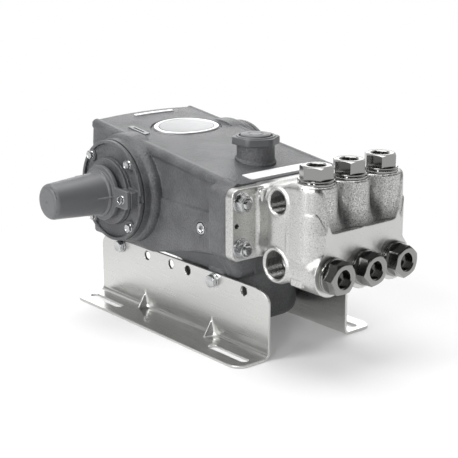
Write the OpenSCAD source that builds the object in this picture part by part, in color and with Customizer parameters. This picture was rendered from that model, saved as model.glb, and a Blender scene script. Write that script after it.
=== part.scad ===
// Triplex plunger pump on two bent mounting rails.
// X runs across the pump, the liquid end faces -Y, the crankshaft lies along X, +Z is up.
// The origin is on the floor, midway between the two slots of the left foot.

/* [Rails] */
// Length of each mounting rail
rail_len = 300; // [260:1:360]
// Height of the upright plate of a rail
rail_h = 75; // [72:1:80]
// Sheet thickness of the rails
rail_t = 3; // [2:0.5:5]
// Clear width between the two upright plates
rail_gap = 110; // [104:1:116]
// Width of the foot, from the upright's inner face to its outer edge
foot_w = 45; // [40:1:60]
// Inside radius of the bend
bend_r = 5; // [3:0.5:8]
// Corner radius of the foot and of the upright plate
rail_corner_r = 14; // [6:1:18]
// Length of a foot slot, end to end
slot_len = 60; // [30:1:80]
// Width of a foot slot
slot_w = 10; // [8:0.5:12]
// Distance of a slot's end from the end of the foot
slot_end_in = 8; // [6:1:20]
// Distance of a slot's centre line from the foot's outer edge
slot_in = 20; // [14:1:24]
// Diameter of the holes in the upright plate
rail_hole_d = 10; // [9:0.5:11]
// Distance of the row of holes below the upright plate's top edge
rail_hole_in = 8.5; // [8:0.5:11]
// Distance of the rear bolt from the rail's middle
rear_bolt_y = 110; // [104:1:116]
// Distance of the front bolt from the rail's middle
front_bolt_y = 61.5; // [56:0.5:66]
// Width of a stiffening dart across the bend
dart_w = 10; // [8:1:16]
// Height of a stiffening dart over the foot
dart_h = 19; // [14:1:24]
// Reach of a stiffening dart along the foot
dart_reach = 12; // [8:1:15]

/* [Crankcase] */
// Height of the crankshaft above the floor
shaft_h = 147.5; // [145:0.5:150]
// Distance of the crankshaft behind the rails' middle
shaft_y = 70.5; // [66:0.5:75]
// Width of the crankcase
case_w = 148; // [146:1:152]
// Length of the crankcase from its rear wall to the manifold joint
case_len = 260; // [258:1:264]
// Distance of the manifold joint in front of the rails' middle
joint_y = 114; // [110:1:116]
// Height of the crankcase's rear top edge above the crankshaft
case_rise = 68.5; // [66.5:0.5:74.5]
// Fall of the top towards the liquid end, in degrees
top_fall = 7.2; // [5:0.1:8]
// Rise of the top's middle over its side edges
top_crown = 3; // [1:0.5:5]
// Clearance between the rails' top edges and the crankcase's wide part, at the rear
case_clear = 5; // [3:0.5:7]
// Rise of that lower edge from the rear to the front
low_rise = 24; // [18:1:27]
// Radius of the crankcase's upright corners
case_r = 9; // [5:1:14]
// Radius of the round bead along the top's side edges
bead_r = 6; // [4:0.5:8]
// Width of the oil sump between the rails
sump_w = 100; // [90:1:102]
// Height of the sump's floor
sump_low = 16; // [10:1:30]
// Corner radius of the sump
sump_r = 32; // [20:1:38]
// Distance of the sump's rear end behind the rails' middle
sump_back = 8; // [0:1:14]
// Width of the flange block that carries the manifold studs
block_w = 172; // [168:1:176]
// Length of the flange block
block_len = 28; // [22:1:32]

/* [Bearing ends] */
// Radius of the round bearing housing cast on each side
housing_r = 62; // [60:0.5:64]
// Distance that the housing stands out from the crankcase side
housing_out = 8.5; // [6:0.5:11]
// Distance that the narrower barrel on the housing stands out from the crankcase side
barrel_out = 19; // [17:0.5:21]
// Radius of a bearing cover
cover_r = 57; // [55:0.5:59]
// Thickness of a bearing cover
cover_t = 5; // [4:0.5:7]
// Thickness of the shim ring under a bearing cover
shim_t = 1; // [0.5:0.1:2]
// Radius of the raised hub of a bearing cover
hub_r = 35; // [33:0.5:38]
// Height of the raised hub
hub_t = 4; // [3:0.5:6]
// Radius of the circle of cover screws
screw_circle_r = 50.5; // [48:0.5:51]
// Thread diameter of the cover screws
screw_d = 6; // [5:0.5:8]
// Diameter of the drive shaft's end
drive_shaft_d = 30; // [24:1:34]
// Length of the drive shaft outside the hub
drive_shaft_len = 62; // [40:1:64]

/* [Shaft protector] */
// Length of the shaft protector from its flange's seat to its tip
protector_len = 74; // [72:1:90]
// Radius of the protector at its flange
protector_base_r = 24.5; // [23:0.5:27]
// Radius of the protector at its tip
protector_tip_r = 19.5; // [18.5:0.5:22]
// Wall thickness of the protector
protector_wall = 2.5; // [1.5:0.5:3]
// Radius of the protector's round flange
protector_flange_r = 31; // [29:0.5:33]
// Distance of the two protector screws from the shaft's centre
tab_out = 42; // [41:0.5:44]
// Width of the two protector tabs
tab_w = 20; // [16:1:24]
// Thickness of the protector's flange and tabs
tab_t = 5; // [3:0.5:6]

/* [Manifold] */
// Distance between neighbouring plungers
plunger_pitch = 45; // [43:0.5:46]
// Width of the manifold block
manifold_w = 136; // [134:1:140]
// Distance from the crankcase joint to the manifold's machined front face
manifold_len = 112; // [108:1:118]
// Thickness of the manifold flange
flange_t = 11; // [9:1:14]
// Height of the manifold flange
flange_h = 76; // [72:1:80]
// Corner radius of the manifold flange
flange_r = 9; // [6:1:11]
// Width of the waist between the flange and the block
waist_w = 104; // [96:1:112]
// Length of the waist
waist_len = 24; // [20:1:26]
// Distance of the inlet valves below the crankshaft
inlet_drop = 38; // [35.5:0.5:39.5]
// Height of the top of the three towers above the crankshaft
tower_rise = 50; // [47.5:0.5:52.5]
// Radius of a tower
tower_r = 21.5; // [20:0.5:22.5]
// Radius of the cast lobe round an inlet valve
lobe_r = 23; // [22:0.5:24]
// Height of the machined front face's upper edge above the crankshaft
face_rise = 3.5; // [-1.5:0.5:8.5]
// Height of the block's shoulder behind the towers above the crankshaft
shoulder_rise = 40.5; // [34.5:0.5:44.5]
// Thread radius of an outlet port at its mouth
outlet_r = 10.7; // [9:0.1:11.5]
// Height of the outlet ports above the crankshaft
outlet_rise = 29; // [26.5:0.5:30.5]
// Distance of the outlet ports behind the front face
outlet_back = 52; // [50:0.5:56]
// Thread radius of an inlet port at its mouth
inlet_r = 13.7; // [12:0.1:14.5]
// Distance of the inlet ports below the crankshaft
inlet_port_drop = 36; // [34.5:0.5:37.5]
// Distance of the inlet ports behind the front face
inlet_back = 55; // [53:0.5:58]
// Depth of the threaded part of a port
port_depth = 22; // [16:1:26]
// Distance that a port's ring stands out from the block's side
port_out = 2; // [1:0.5:4]

/* [Valve plugs] */
// Width across the flats of a valve plug's hexagon
plug_af = 30; // [27:0.5:32]
// Height of the hexagon
plug_hex_h = 13; // [10:0.5:16]
// Radius of the plug's round collar
plug_collar_r = 18.5; // [18:0.5:20.5]
// Thickness of the collar
plug_collar_t = 5.5; // [4:0.5:7]
// Radius of the round recess in the plug's end
plug_bore_r = 9; // [7:0.5:11]
// Depth of that recess
plug_bore_depth = 11; // [6:0.5:14]

/* [Fasteners] */
// Thread diameter of the manifold studs
stud_d = 10; // [8:0.5:12]
// Sideways distance of a manifold stud from the pump's middle
stud_x = 74; // [72:0.5:75]
// Distance of the lower row of manifold studs below the crankshaft
stud_drop = 28; // [25.5:0.5:29.5]
// Height between the two rows of manifold studs
stud_rise = 48; // [46:0.5:50]
// Thread diameter of the rail bolts
rail_bolt_d = 8; // [6:0.5:9]
// Clearance round a bolt or stud in its hole
bolt_clear = 0.4; // [0.3:0.1:0.6]
// Clearance between a round spigot and its bore
fit_clear = 0.3; // [0.2:0.1:0.5]

/* [Oil filler and plates] */
// Distance of the oil filler in front of the rails' middle
filler_y = 63; // [56:1:68]
// Radius of the filler neck
neck_r = 21; // [18:0.5:23]
// Height of the filler neck over the crankcase top
neck_h = 17; // [12:0.5:22]
// Width across the flats of the filler cap
cap_af = 47; // [42:0.5:50]
// Height of the filler cap's hexagon
cap_h = 8; // [6:0.5:10]
// Half length of the oval nameplate, across the pump
nameplate_a = 46; // [36:1:48]
// Half width of the oval nameplate, along the pump
nameplate_b = 30; // [22:1:32]
// Distance of the nameplate behind the rails' middle
nameplate_y = 67; // [62:1:70]
// Distance of the nameplate's middle to the right of the pump's
nameplate_x = 8; // [4:1:12]
// Thickness of the plates on the crankcase top
plate_t = 1; // [0.6:0.1:2]
// Length of the bare label strip at the front of the top
strip_len = 92; // [70:1:110]
// Width of the bare label strip
strip_w = 16; // [10:1:18]
// Length of the narrow bar at the rear of the top
bar_len = 56; // [40:1:80]
// Width of the narrow bar
bar_w = 5; // [3:0.5:8]
// Length of the small slotted tag beside the nameplate
tag_len = 32; // [20:1:36]
// Width of the small slotted tag
tag_w = 7; // [5:0.5:9]

/* [Rear] */
// Thickness of the rear cover
rear_cover_t = 7; // [5:0.5:10]
// Distance of the rear cover's edge inside the crankcase's outline
rear_cover_in = 13; // [11:0.5:18]
// Diameter of the oil sight gauge
gauge_d = 34; // [26:1:34]
// Distance that the sight gauge stands out from the rear cover
gauge_out = 6; // [4:0.5:9]
// Width across the flats of the oil drain plug
drain_af = 19; // [15:0.5:22]
// Height of the drain plug's hexagon
drain_hex_h = 7; // [5:0.5:9]

/* [Hidden] */
$fn = 72;

// Crankcase
case_rear = case_len - joint_y;
case_half = case_w / 2;
case_top = shaft_h + case_rise;
case_low = rail_h + case_clear;
top_slope = tan(top_fall);
case_front_low = case_low + low_rise;
crown_r = (case_half * case_half + top_crown * top_crown) / (2 * top_crown);
crown_over = case_len / 4 + crown_r * sin(top_fall);
low_tip = 30;
rear_lean = 3.5;

// Height of the crankcase top on its middle line
function top_z(y) = case_top + top_crown - (case_rear - y) * top_slope;

// Height of the crankcase top away from its middle line
function top_at(x, y) = top_z(y) - (crown_r - sqrt(crown_r * crown_r - x * x)) / cos(top_fall);

// Bearing ends, measured out from the middle of the pump
housing_flare = 2;
barrel_r = cover_r + 0.5;
housing_face = case_half + barrel_out;
cover_seat = housing_face + shim_t;
cover_face = cover_seat + cover_t;
hub_face = cover_face + hub_t;
screw_at = screw_circle_r / sqrt(2);
screw_head_r = 0.85 * screw_d;
screw_head_h = 0.65 * screw_d;
screw_depth = 8;
pad_out = hub_face + 5;
tab_face = pad_out + tab_t;
pad_r = tab_w / 2;

// Manifold
face_y = -(joint_y + manifold_len);
flange_y = -(joint_y + flange_t);
block_back = -(joint_y + flange_t + waist_len);
manifold_half = manifold_w / 2;
inlet_h = shaft_h - inlet_drop;
tower_top = shaft_h + tower_rise;
face_top = shaft_h + face_rise;
shoulder_h = shaft_h + shoulder_rise;
outlet_h = shaft_h + outlet_rise;
inlet_port_h = shaft_h - inlet_port_drop;
stud_low = shaft_h - stud_drop;
tower_y = face_y + tower_r + 2;
outlet_y = face_y + outlet_back;
inlet_y = face_y + inlet_back;
flange_mid = stud_low + stud_rise / 2;
body_r = 18;
lobe_len = 42;
lobe_back = face_y + lobe_len;
gallery_r = 8;
block_under = 12;
ring_w = 5;
spigot_r = plug_collar_r - 4;
spigot_len = 8;
face_step = 2;
discharge_turns = [0, -10, -10];
inlet_turns = [0, 12, 20];

// Rails
upright_in = rail_gap / 2;
upright_out = upright_in + rail_t;
foot_out = upright_in + foot_w;
slot_x = foot_out - slot_in;
slot_span = rail_len - slot_len - 2 * slot_end_in;
rail_hole_h = rail_h - rail_hole_in;
spare_holes = [59, 14.5, -16, -110.5];
dart_ys = [64, -57.5];
rail_bolt_ys = [rear_bolt_y, -front_bolt_y];
foot_pad_r = 14;

// Fasteners
nut_af = 1.6 * stud_d;
nut_h = 0.8 * stud_d;
washer_r = 1.1 * stud_d;
washer_t = 1.6;
stud_show = 2.5;
stud_grip = 18;
rail_head_af = 13 / 8 * rail_bolt_d;
rail_head_h = 5.3 / 8 * rail_bolt_d;
rail_washer_r = rail_bolt_d;
rail_washer_t = 1.5;
rail_bolt_grip = 14;

// Rear cover
rear_cover_w = case_w - 2 * rear_cover_in;
rear_cover_low = case_low + rear_cover_in;
rear_cover_high = case_top - rear_cover_in;
rear_cover_r = 12;
rear_screw_in = 8;
drain_up = 17;
drain_h = rear_cover_low + drain_up;
cover_back = case_rear + rear_cover_t;
drain_d = 0.85 * drain_af;
drain_collar_r = 0.62 * drain_af;
drain_collar_t = 2;
gauge_neck_r = gauge_d / 2 - 3;
gauge_rim = 7;
gauge_gap = 1;
gauge_h = drain_h + drain_collar_r + gauge_gap + gauge_d / 2;

// Side plugs
side_plug_r = 6.5;
side_plug_back = 54.5;
side_plug_drop = 21;
side_plug_y = -joint_y + side_plug_back;
side_plug_h = shaft_h - side_plug_drop;
side_plug_deep = 6;
side_plug_proud = 0.8;

// Filler
cap_turn = 28;
neck_top = top_z(-filler_y) + neck_h;

// The pump is drawn about its middle plane; this puts the left foot's slots at x = 0
module place() {
    translate([slot_x, 0, 0]) children();
}

// Round bar along X from x0 to x1
module bar_x(r, x0, x1, y, z) {
    translate([x0, y, z]) rotate([0, 90, 0]) cylinder(r = r, h = x1 - x0);
}

// Round bar along Y from y0 to y1
module bar_y(r, y0, y1, x, z) {
    translate([x, y0, z]) rotate([-90, 0, 0]) cylinder(r = r, h = y1 - y0);
}

// Box between two opposite corners
module box(a, b) {
    translate(a) cube(b - a);
}

// Flat rectangle with round corners
module round_rect(w, h, r) {
    square([w - 2 * r, h], center = true);
    square([w, h - 2 * r], center = true);
    for (sx = [-1, 1], sy = [-1, 1]) {
        translate([sx * (w / 2 - r), sy * (h / 2 - r)]) circle(r = r);
    }
}

// Hexagonal prism given by its width across the flats, flats facing +-Y
module hexagon(af, h) {
    cylinder(r = af / sqrt(3), h = h, $fn = 6);
}

// Hexagon whose outer corners are turned down to a chamfer at the far end
module hex_head(af, h) {
    intersection() {
        hexagon(af, h);
        union() {
            cylinder(r = af / sqrt(3) + 1, h = h - 0.08 * af);
            translate([0, 0, h - 0.08 * af]) {
                cylinder(r1 = af / sqrt(3) + 0.2, r2 = af / 2 * 0.95, h = 0.08 * af);
            }
        }
    }
}

// Outline of the crankcase's wide part, seen from the side, with Y across and Z up
module case_side() {
    polygon([
        [-joint_y, case_front_low],
        [-joint_y, case_top + 2 * top_crown],
        [case_rear - rear_lean, case_top + 2 * top_crown],
        [case_rear - rear_lean, case_top],
        [case_rear, case_top - 0.2 * (case_top - case_low)],
        [case_rear, case_low + case_r],
        [case_rear - case_r, case_low],
        [low_tip, case_low],
        [-joint_y / 2, case_low + 0.8 * low_rise]
    ]);
}

// Everything below the sloping and crowned top
module under_top() {
    intersection() {
        translate([0, case_rear, top_z(case_rear) - crown_r / cos(top_fall)]) {
            rotate([90 + top_fall, 0, 0]) translate([0, 0, -crown_over]) {
                cylinder(r = crown_r, h = case_len + 2 * crown_over, $fn = 360);
            }
        }
        box([-case_half, -joint_y - 40, 0], [case_half, case_rear + 40, case_top + 20]);
    }
}

module crankcase_body() {
    intersection() {
        under_top();
        rotate([90, 0, 90]) translate([0, 0, -case_half]) linear_extrude(case_w) case_side();
        translate([0, case_rear - case_len / 2, 0]) linear_extrude(case_top + 20) {
            round_rect(case_w, case_len, case_r);
        }
    }
    // Square front end, where the manifold joins
    intersection() {
        under_top();
        box([-case_half, -joint_y, case_front_low], [case_half, -joint_y + 2 * case_r, case_top]);
    }
    // Bead along each side edge of the top
    bead_from = case_rear - case_r;
    bead_z = top_at(case_half, bead_from) - bead_r + 1;
    for (s = [-1, 1]) {
        intersection() {
            translate([s * (case_half - bead_r + 1), bead_from, bead_z]) {
                rotate([90 + top_fall, 0, 0]) cylinder(r = bead_r, h = case_len - case_r);
            }
            box([-case_w, -joint_y, 0], [case_w, case_rear, case_top + 20]);
        }
    }
}

// Sump that hangs between the rails
module sump() {
    sump_front = -joint_y + 18;
    sump_rear = sump_back + sump_r;
    sump_top = case_front_low + 2;
    cut = 0.4 * sump_r;
    intersection() {
        translate([0, (sump_front + sump_rear) / 2, 0]) linear_extrude(sump_top) {
            round_rect(sump_w, sump_rear - sump_front, sump_r);
        }
        box([-sump_w, sump_front, 0], [sump_w, sump_back, sump_top]);
        rotate([90, 0, 0]) translate([0, 0, -sump_rear]) linear_extrude(sump_rear - sump_front) {
            polygon([
                [-sump_w / 2, sump_low + cut], [-sump_w / 2 + cut, sump_low],
                [sump_w / 2 - cut, sump_low], [sump_w / 2, sump_low + cut],
                [sump_w / 2, sump_top], [-sump_w / 2, sump_top]
            ]);
        }
    }
    // Front wall under the manifold flange
    box([-sump_w / 2, -joint_y, case_low - 4], [sump_w / 2, sump_front + sump_r, case_front_low + 2]);
    // Sides that lean in from the wide part to the sump
    translate([0, case_rear - case_r, 0]) rotate([90, 0, 0]) linear_extrude(case_len - case_r) {
        polygon([
            [-case_half, case_front_low], [-upright_in, rail_h + fit_clear],
            [upright_in, rail_h + fit_clear], [case_half, case_front_low]
        ]);
    }
    // Pads that the rails are bolted to
    for (s = [-1, 1], y = rail_bolt_ys) {
        bar_x(foot_pad_r, s > 0 ? 0 : -upright_in, s > 0 ? upright_in : 0, y, rail_hole_h);
    }
}

module crankcase() {
    place() color("dimgray") difference() {
        union() {
            crankcase_body();
            sump();
            // Bearing housings
            for (s = [-1, 1]) {
                translate([s * (case_half - 1), shaft_y, shaft_h]) rotate([0, s * 90, 0]) {
                    cylinder(r = housing_r, h = housing_out + 1);
                    cylinder(r = barrel_r, h = barrel_out + 1);
                    translate([0, 0, housing_out + 1]) {
                        cylinder(r1 = housing_r, r2 = barrel_r, h = housing_flare);
                    }
                }
                translate([s * case_half, shaft_y, shaft_h]) rotate([0, s * 90, 0]) {
                    cylinder(r1 = housing_r + 3, r2 = housing_r, h = 3);
                }
            }
            // Flange block
            translate([0, -joint_y, flange_mid]) rotate([-90, 0, 0]) linear_extrude(block_len) {
                round_rect(block_w, flange_h, flange_r);
            }
        }
        // Stud holes
        for (s = [-1, 1], z = [stud_low, stud_low + stud_rise]) {
            bar_y(stud_d / 2 + bolt_clear, -joint_y - 1, -joint_y + stud_grip, s * stud_x, z);
        }
        // Rail bolt holes
        for (s = [-1, 1], y = rail_bolt_ys) {
            bar_x(
                rail_bolt_d / 2 + bolt_clear,
                s > 0 ? upright_in - rail_bolt_grip : -upright_in - 1,
                s > 0 ? upright_in + 1 : -upright_in + rail_bolt_grip,
                y, rail_hole_h
            );
        }
        // Cover screw holes
        for (s = [-1, 1], a = [-1, 1], b = [-1, 1]) {
            bar_x(
                screw_d / 2 + bolt_clear,
                s > 0 ? housing_face - screw_depth : -housing_face - 1,
                s > 0 ? housing_face + 1 : -housing_face + screw_depth,
                shaft_y + a * screw_at, shaft_h + b * screw_at
            );
        }
        // Seats of the two side plugs
        for (s = [-1, 1]) {
            bar_x(
                side_plug_r + fit_clear,
                s > 0 ? case_half - side_plug_deep : -case_half - 1,
                s > 0 ? case_half + 1 : -case_half + side_plug_deep,
                side_plug_y, side_plug_h
            );
        }
    }
}

// Ring-shaped plug in the side of the crankcase
module side_plug(s) {
    place() color("silver") difference() {
        bar_x(
            side_plug_r,
            s > 0 ? case_half - side_plug_deep : -case_half - side_plug_proud,
            s > 0 ? case_half + side_plug_proud : -case_half + side_plug_deep,
            side_plug_y, side_plug_h
        );
        translate([s * (case_half + side_plug_proud), side_plug_y, side_plug_h]) {
            rotate([0, -s * 90, 0]) translate([0, 0, -1]) hexagon(6, 5);
        }
    }
}

module side_plug_left() { side_plug(-1); }
module side_plug_right() { side_plug(1); }

// Rear cover and what it carries
module rear_cover() {
    place() color("dimgray") difference() {
        translate([0, case_rear, (rear_cover_low + rear_cover_high) / 2]) rotate([-90, 0, 0]) {
            linear_extrude(rear_cover_t) {
                round_rect(rear_cover_w, rear_cover_high - rear_cover_low, rear_cover_r);
            }
        }
        bar_y(gauge_neck_r + fit_clear, case_rear - 1, cover_back + 1, 0, gauge_h);
        bar_y(drain_d / 2 + fit_clear, case_rear - 1, cover_back + 1, 0, drain_h);
    }
}

module rear_cover_screws() {
    w = rear_cover_w / 2 - rear_screw_in;
    zs = [
        rear_cover_low + rear_screw_in,
        (rear_cover_low + rear_cover_high) / 2,
        rear_cover_high - rear_screw_in
    ];
    for (s = [-1, 1], z = zs) {
        place() color("silver") translate([s * w, cover_back, z]) rotate([-90, 0, 0]) {
            difference() {
                cylinder(r = screw_head_r, h = screw_head_h);
                translate([0, 0, screw_head_h - 2]) hexagon(0.8 * screw_d, 3);
            }
        }
    }
}

module oil_sight_gauge() {
    place() color("silver") difference() {
        union() {
            bar_y(gauge_d / 2, cover_back, cover_back + gauge_out, 0, gauge_h);
            bar_y(gauge_neck_r, case_rear, cover_back + 1, 0, gauge_h);
        }
        // Window, set back in its rim
        bar_y(gauge_d / 2 - gauge_rim, cover_back + gauge_out / 2, cover_back + gauge_out + 1, 0, gauge_h);
    }
}

module oil_drain_plug() {
    place() color("silver") {
        bar_y(drain_d / 2, case_rear, cover_back, 0, drain_h);
        bar_y(drain_collar_r, cover_back, cover_back + drain_collar_t, 0, drain_h);
        translate([0, cover_back + drain_collar_t, drain_h]) rotate([-90, 0, 0]) {
            hex_head(drain_af, drain_hex_h);
        }
    }
}

// Filler neck: a round neck with a base ring, standing on the sloping top
module filler_neck() {
    place() color("dimgray") difference() {
        union() {
            translate([0, -filler_y, neck_top - neck_h - 8]) cylinder(r = neck_r, h = neck_h + 8);
            translate([0, -filler_y, top_z(-filler_y)]) rotate([top_fall, 0, 0]) {
                translate([0, 0, -3]) cylinder(r = neck_r + 1.5, h = 5);
            }
        }
        under_top();
    }
}

module oil_filler_cap() {
    place() color("darkslategray") translate([0, -filler_y, neck_top]) difference() {
        union() {
            rotate([0, 0, cap_turn]) hex_head(cap_af, cap_h);
            cylinder(r = 0.45 * cap_af, h = cap_h + 1);
            translate([0, 0, cap_h + 1]) cylinder(r1 = 0.36 * cap_af, r2 = 0.3 * cap_af, h = 1.6);
        }
        // Round groove in the cap's top
        translate([0, 0, cap_h - 1]) difference() {
            cylinder(r = 0.4 * cap_af, h = 4);
            translate([0, 0, -1]) cylinder(r = 0.36 * cap_af, h = 6);
        }
    }
}

// Thin plate laid on the crankcase top, cut from a slab by a flat outline
module on_top(t) {
    difference() {
        intersection() {
            translate([0, 0, t]) under_top();
            linear_extrude(case_top + 30) children();
        }
        under_top();
    }
}

module nameplate() {
    place() color("silver") on_top(plate_t) translate([nameplate_x, nameplate_y]) {
        scale([nameplate_a / nameplate_b, 1]) circle(r = nameplate_b);
    }
}

module label_strip() {
    strip_y = -joint_y + 4 + strip_w / 2;
    place() color("whitesmoke") on_top(plate_t) {
        translate([0, strip_y]) square([strip_len, strip_w], center = true);
    }
}

module rear_bar() {
    rear_bar_x = nameplate_x - 3;
    rear_bar_y = case_rear - 20;
    place() color("whitesmoke") on_top(plate_t) {
        translate([rear_bar_x, rear_bar_y]) square([bar_len, bar_w], center = true);
    }
}

module slotted_tag() {
    tag_x = -(case_half - 21.5);
    place() color("silver") on_top(plate_t) translate([tag_x, nameplate_y + 11]) difference() {
        square([tag_w, tag_len], center = true);
        square([tag_w / 3, tag_len * 0.6], center = true);
    }
}

// Bearing ends
module shim_ring(s) {
    place() color("black") difference() {
        translate([s * housing_face, shaft_y, shaft_h]) rotate([0, s * 90, 0]) {
            cylinder(r = cover_r + 0.5, h = shim_t);
        }
        bar_x(cover_r - 12, -case_w, case_w, shaft_y, shaft_h);
        for (a = [-1, 1], b = [-1, 1]) {
            bar_x(screw_d / 2 + bolt_clear, -case_w, case_w, shaft_y + a * screw_at, shaft_h + b * screw_at);
        }
    }
}

module shim_ring_left() { shim_ring(-1); }
module shim_ring_right() { shim_ring(1); }

// Bearing cover turned about the shaft, drawn for the right side and mirrored to the left
module bearing_cover(s, hub_bore) {
    place() color("dimgray") difference() {
        translate([0, shaft_y, shaft_h]) rotate([0, s * 90, 0]) {
            rotate_extrude() polygon([
                [0, cover_seat],
                [cover_r, cover_seat],
                [cover_r, cover_face - 1],
                [cover_r - 1, cover_face],
                [hub_r + 2, cover_face],
                [hub_r, cover_face + hub_t - 1],
                [hub_r - 1, hub_face],
                [0, hub_face]
            ]);
        }
        for (a = [-1, 1], b = [-1, 1]) {
            bar_x(screw_d / 2 + bolt_clear, -case_w, case_w, shaft_y + a * screw_at, shaft_h + b * screw_at);
        }
        if (hub_bore > 0) {
            translate([s * hub_face, shaft_y, shaft_h]) rotate([0, -s * 90, 0]) {
                translate([0, 0, -1]) cylinder(r = hub_bore, h = hub_t + cover_t + 2);
            }
        }
    }
}

module bearing_cover_left() {
    bearing_cover(-1, drive_shaft_d / 2 + fit_clear);
    // Two pads for the protector's tabs
    place() color("dimgray") for (d = [-1, 1]) {
        difference() {
            union() {
                bar_x(pad_r, -pad_out, -cover_face, shaft_y + d * tab_out, shaft_h);
                box(
                    [-pad_out, shaft_y + (d > 0 ? hub_r - 3 : -tab_out), shaft_h - pad_r],
                    [-cover_face, shaft_y + (d > 0 ? tab_out : -hub_r + 3), shaft_h + pad_r]
                );
            }
            bar_x(
                screw_d / 2 + bolt_clear, -pad_out - 1, -pad_out + screw_depth,
                shaft_y + d * tab_out, shaft_h
            );
            bar_x(hub_r - 2, -case_w, case_w, shaft_y, shaft_h);
        }
    }
}

module bearing_cover_right() { bearing_cover(1, 0); }

// Hex screw with a round collar, standing on z = 0 and reaching down by grip
module hex_screw(d, grip) {
    cylinder(r = 0.85 * d, h = 0.2 * d);
    translate([0, 0, 0.2 * d]) hex_head(1.45 * d, 0.5 * d);
    translate([0, 0, -grip]) cylinder(r = d / 2, h = grip);
}

module cover_screws(s) {
    for (a = [-1, 1], b = [-1, 1]) {
        place() color("silver") translate([s * cover_face, shaft_y + a * screw_at, shaft_h + b * screw_at]) {
            rotate([0, s * 90, 0]) hex_screw(screw_d, cover_t + shim_t + screw_depth - 1);
        }
    }
}

module cover_screws_left() { cover_screws(-1); }
module cover_screws_right() { cover_screws(1); }

module drive_shaft() {
    end = hub_face + drive_shaft_len;
    place() color("silver") difference() {
        bar_x(drive_shaft_d / 2, -end, -housing_face, shaft_y, shaft_h);
        // Keyway
        box(
            [-end - 1, shaft_y - 4, shaft_h + drive_shaft_d / 2 - 4],
            [-end + 40, shaft_y + 4, shaft_h + drive_shaft_d]
        );
    }
}

module protector_tab_holes() {
    for (d = [-1, 1]) {
        bar_x(screw_d / 2 + bolt_clear, -tab_face - 1, -pad_out + 1, shaft_y + d * tab_out, shaft_h);
    }
}

module shaft_protector() {
    tip = pad_out + protector_len;
    tip_r = 7;
    place() color("dimgray") difference() {
        union() {
            translate([0, shaft_y, shaft_h]) rotate([0, -90, 0]) rotate_extrude() polygon(concat(
                [
                    [0, pad_out],
                    [protector_flange_r, pad_out],
                    [protector_flange_r, tab_face - 1],
                    [protector_flange_r - 1, tab_face],
                    [protector_base_r + 2, tab_face],
                    [protector_base_r, tab_face + 3]
                ],
                [
                    for (a = [0:15:90])
                        [protector_tip_r - tip_r + tip_r * cos(a), tip - tip_r + tip_r * sin(a)]
                ],
                [[0, tip]]
            ));
            for (d = [-1, 1]) {
                bar_x(pad_r, -tab_face, -pad_out, shaft_y + d * tab_out, shaft_h);
                box(
                    [-tab_face, shaft_y + (d > 0 ? 0 : -tab_out), shaft_h - pad_r],
                    [-pad_out, shaft_y + (d > 0 ? tab_out : 0), shaft_h + pad_r]
                );
            }
        }
        // Hollow for the shaft
        translate([-pad_out, shaft_y, shaft_h]) rotate([0, -90, 0]) {
            translate([0, 0, -1]) {
                cylinder(
                    r1 = protector_base_r - protector_wall,
                    r2 = protector_tip_r - protector_wall,
                    h = protector_len - protector_wall + 1
                );
            }
        }
        protector_tab_holes();
    }
}

module protector_screws() {
    for (d = [-1, 1]) {
        place() color("silver") translate([-tab_face, shaft_y + d * tab_out, shaft_h]) {
            rotate([0, -90, 0]) hex_screw(screw_d, tab_t + screw_depth - 1);
        }
    }
}

// Manifold
// Outline of the block seen from above, from the front face back to the waist
module block_outline() {
    translate([0, (face_y + block_back) / 2]) round_rect(manifold_w, block_back - face_y, body_r);
}

module manifold_block() {
    // Lower block with the machined front face
    translate([0, 0, inlet_h - block_under]) linear_extrude(face_top - inlet_h + block_under) block_outline();
    // Upper block, whose front leans back between the towers
    intersection() {
        translate([0, face_step, face_top - 1]) linear_extrude(shoulder_h - face_top + 1) block_outline();
        rotate([90, 0, 90]) translate([0, 0, -manifold_half]) linear_extrude(manifold_w) {
            polygon([
                [face_y + face_step, face_top - 2],
                [face_y + face_step, face_top + 3],
                [tower_y, tower_top - 4],
                [tower_y, shoulder_h],
                [block_back, shoulder_h],
                [block_back, face_top - 2]
            ]);
        }
    }
    for (k = [-1:1]) {
        // Lobe round an inlet valve
        bar_y(lobe_r, face_y, lobe_back, k * plunger_pitch, inlet_h);
        // Tower over a discharge valve
        translate([k * plunger_pitch, tower_y, face_top - 5]) {
            cylinder(r = tower_r, h = tower_top - face_top + 5);
        }
    }
    // Waist
    box([-waist_w / 2, block_back - 1, stud_low - 12], [waist_w / 2, flange_y + 1, shoulder_h - 6]);
}

module manifold() {
    place() color("lightgray") difference() {
        union() {
            manifold_block();
            // Flange
            translate([0, flange_y, flange_mid]) rotate([-90, 0, 0]) linear_extrude(flange_t) {
                round_rect(block_w, flange_h, flange_r);
            }
            // Port rings
            for (s = [-1, 1]) {
                bar_x(outlet_r + ring_w, s > 0 ? 0 : -manifold_half - port_out,
                    s > 0 ? manifold_half + port_out : 0, outlet_y, outlet_h);
                bar_x(inlet_r + ring_w, s > 0 ? 0 : -manifold_half - port_out,
                    s > 0 ? manifold_half + port_out : 0, inlet_y, inlet_port_h);
            }
        }
        // Threaded ports and the galleries that join them
        port_cut(outlet_r, outlet_y, outlet_h);
        port_cut(inlet_r, inlet_y, inlet_port_h);
        // Seats of the valve plugs
        for (k = [-1:1]) {
            bar_y(spigot_r + fit_clear, face_y - 1, face_y + spigot_len + 1, k * plunger_pitch, inlet_h);
            translate([k * plunger_pitch, tower_y, tower_top - spigot_len - 1]) {
                cylinder(r = spigot_r + fit_clear, h = spigot_len + 5);
            }
        }
        // Stud holes and weep holes
        for (s = [-1, 1], z = [stud_low, stud_low + stud_rise]) {
            bar_y(stud_d / 2 + bolt_clear, flange_y - 1, -joint_y + 1, s * stud_x, z);
        }
        for (s = [-1, 1]) {
            bar_y(2.5, flange_y - 1, flange_y + 6, s * (stud_x + 5), flange_mid);
        }
    }
}

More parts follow.
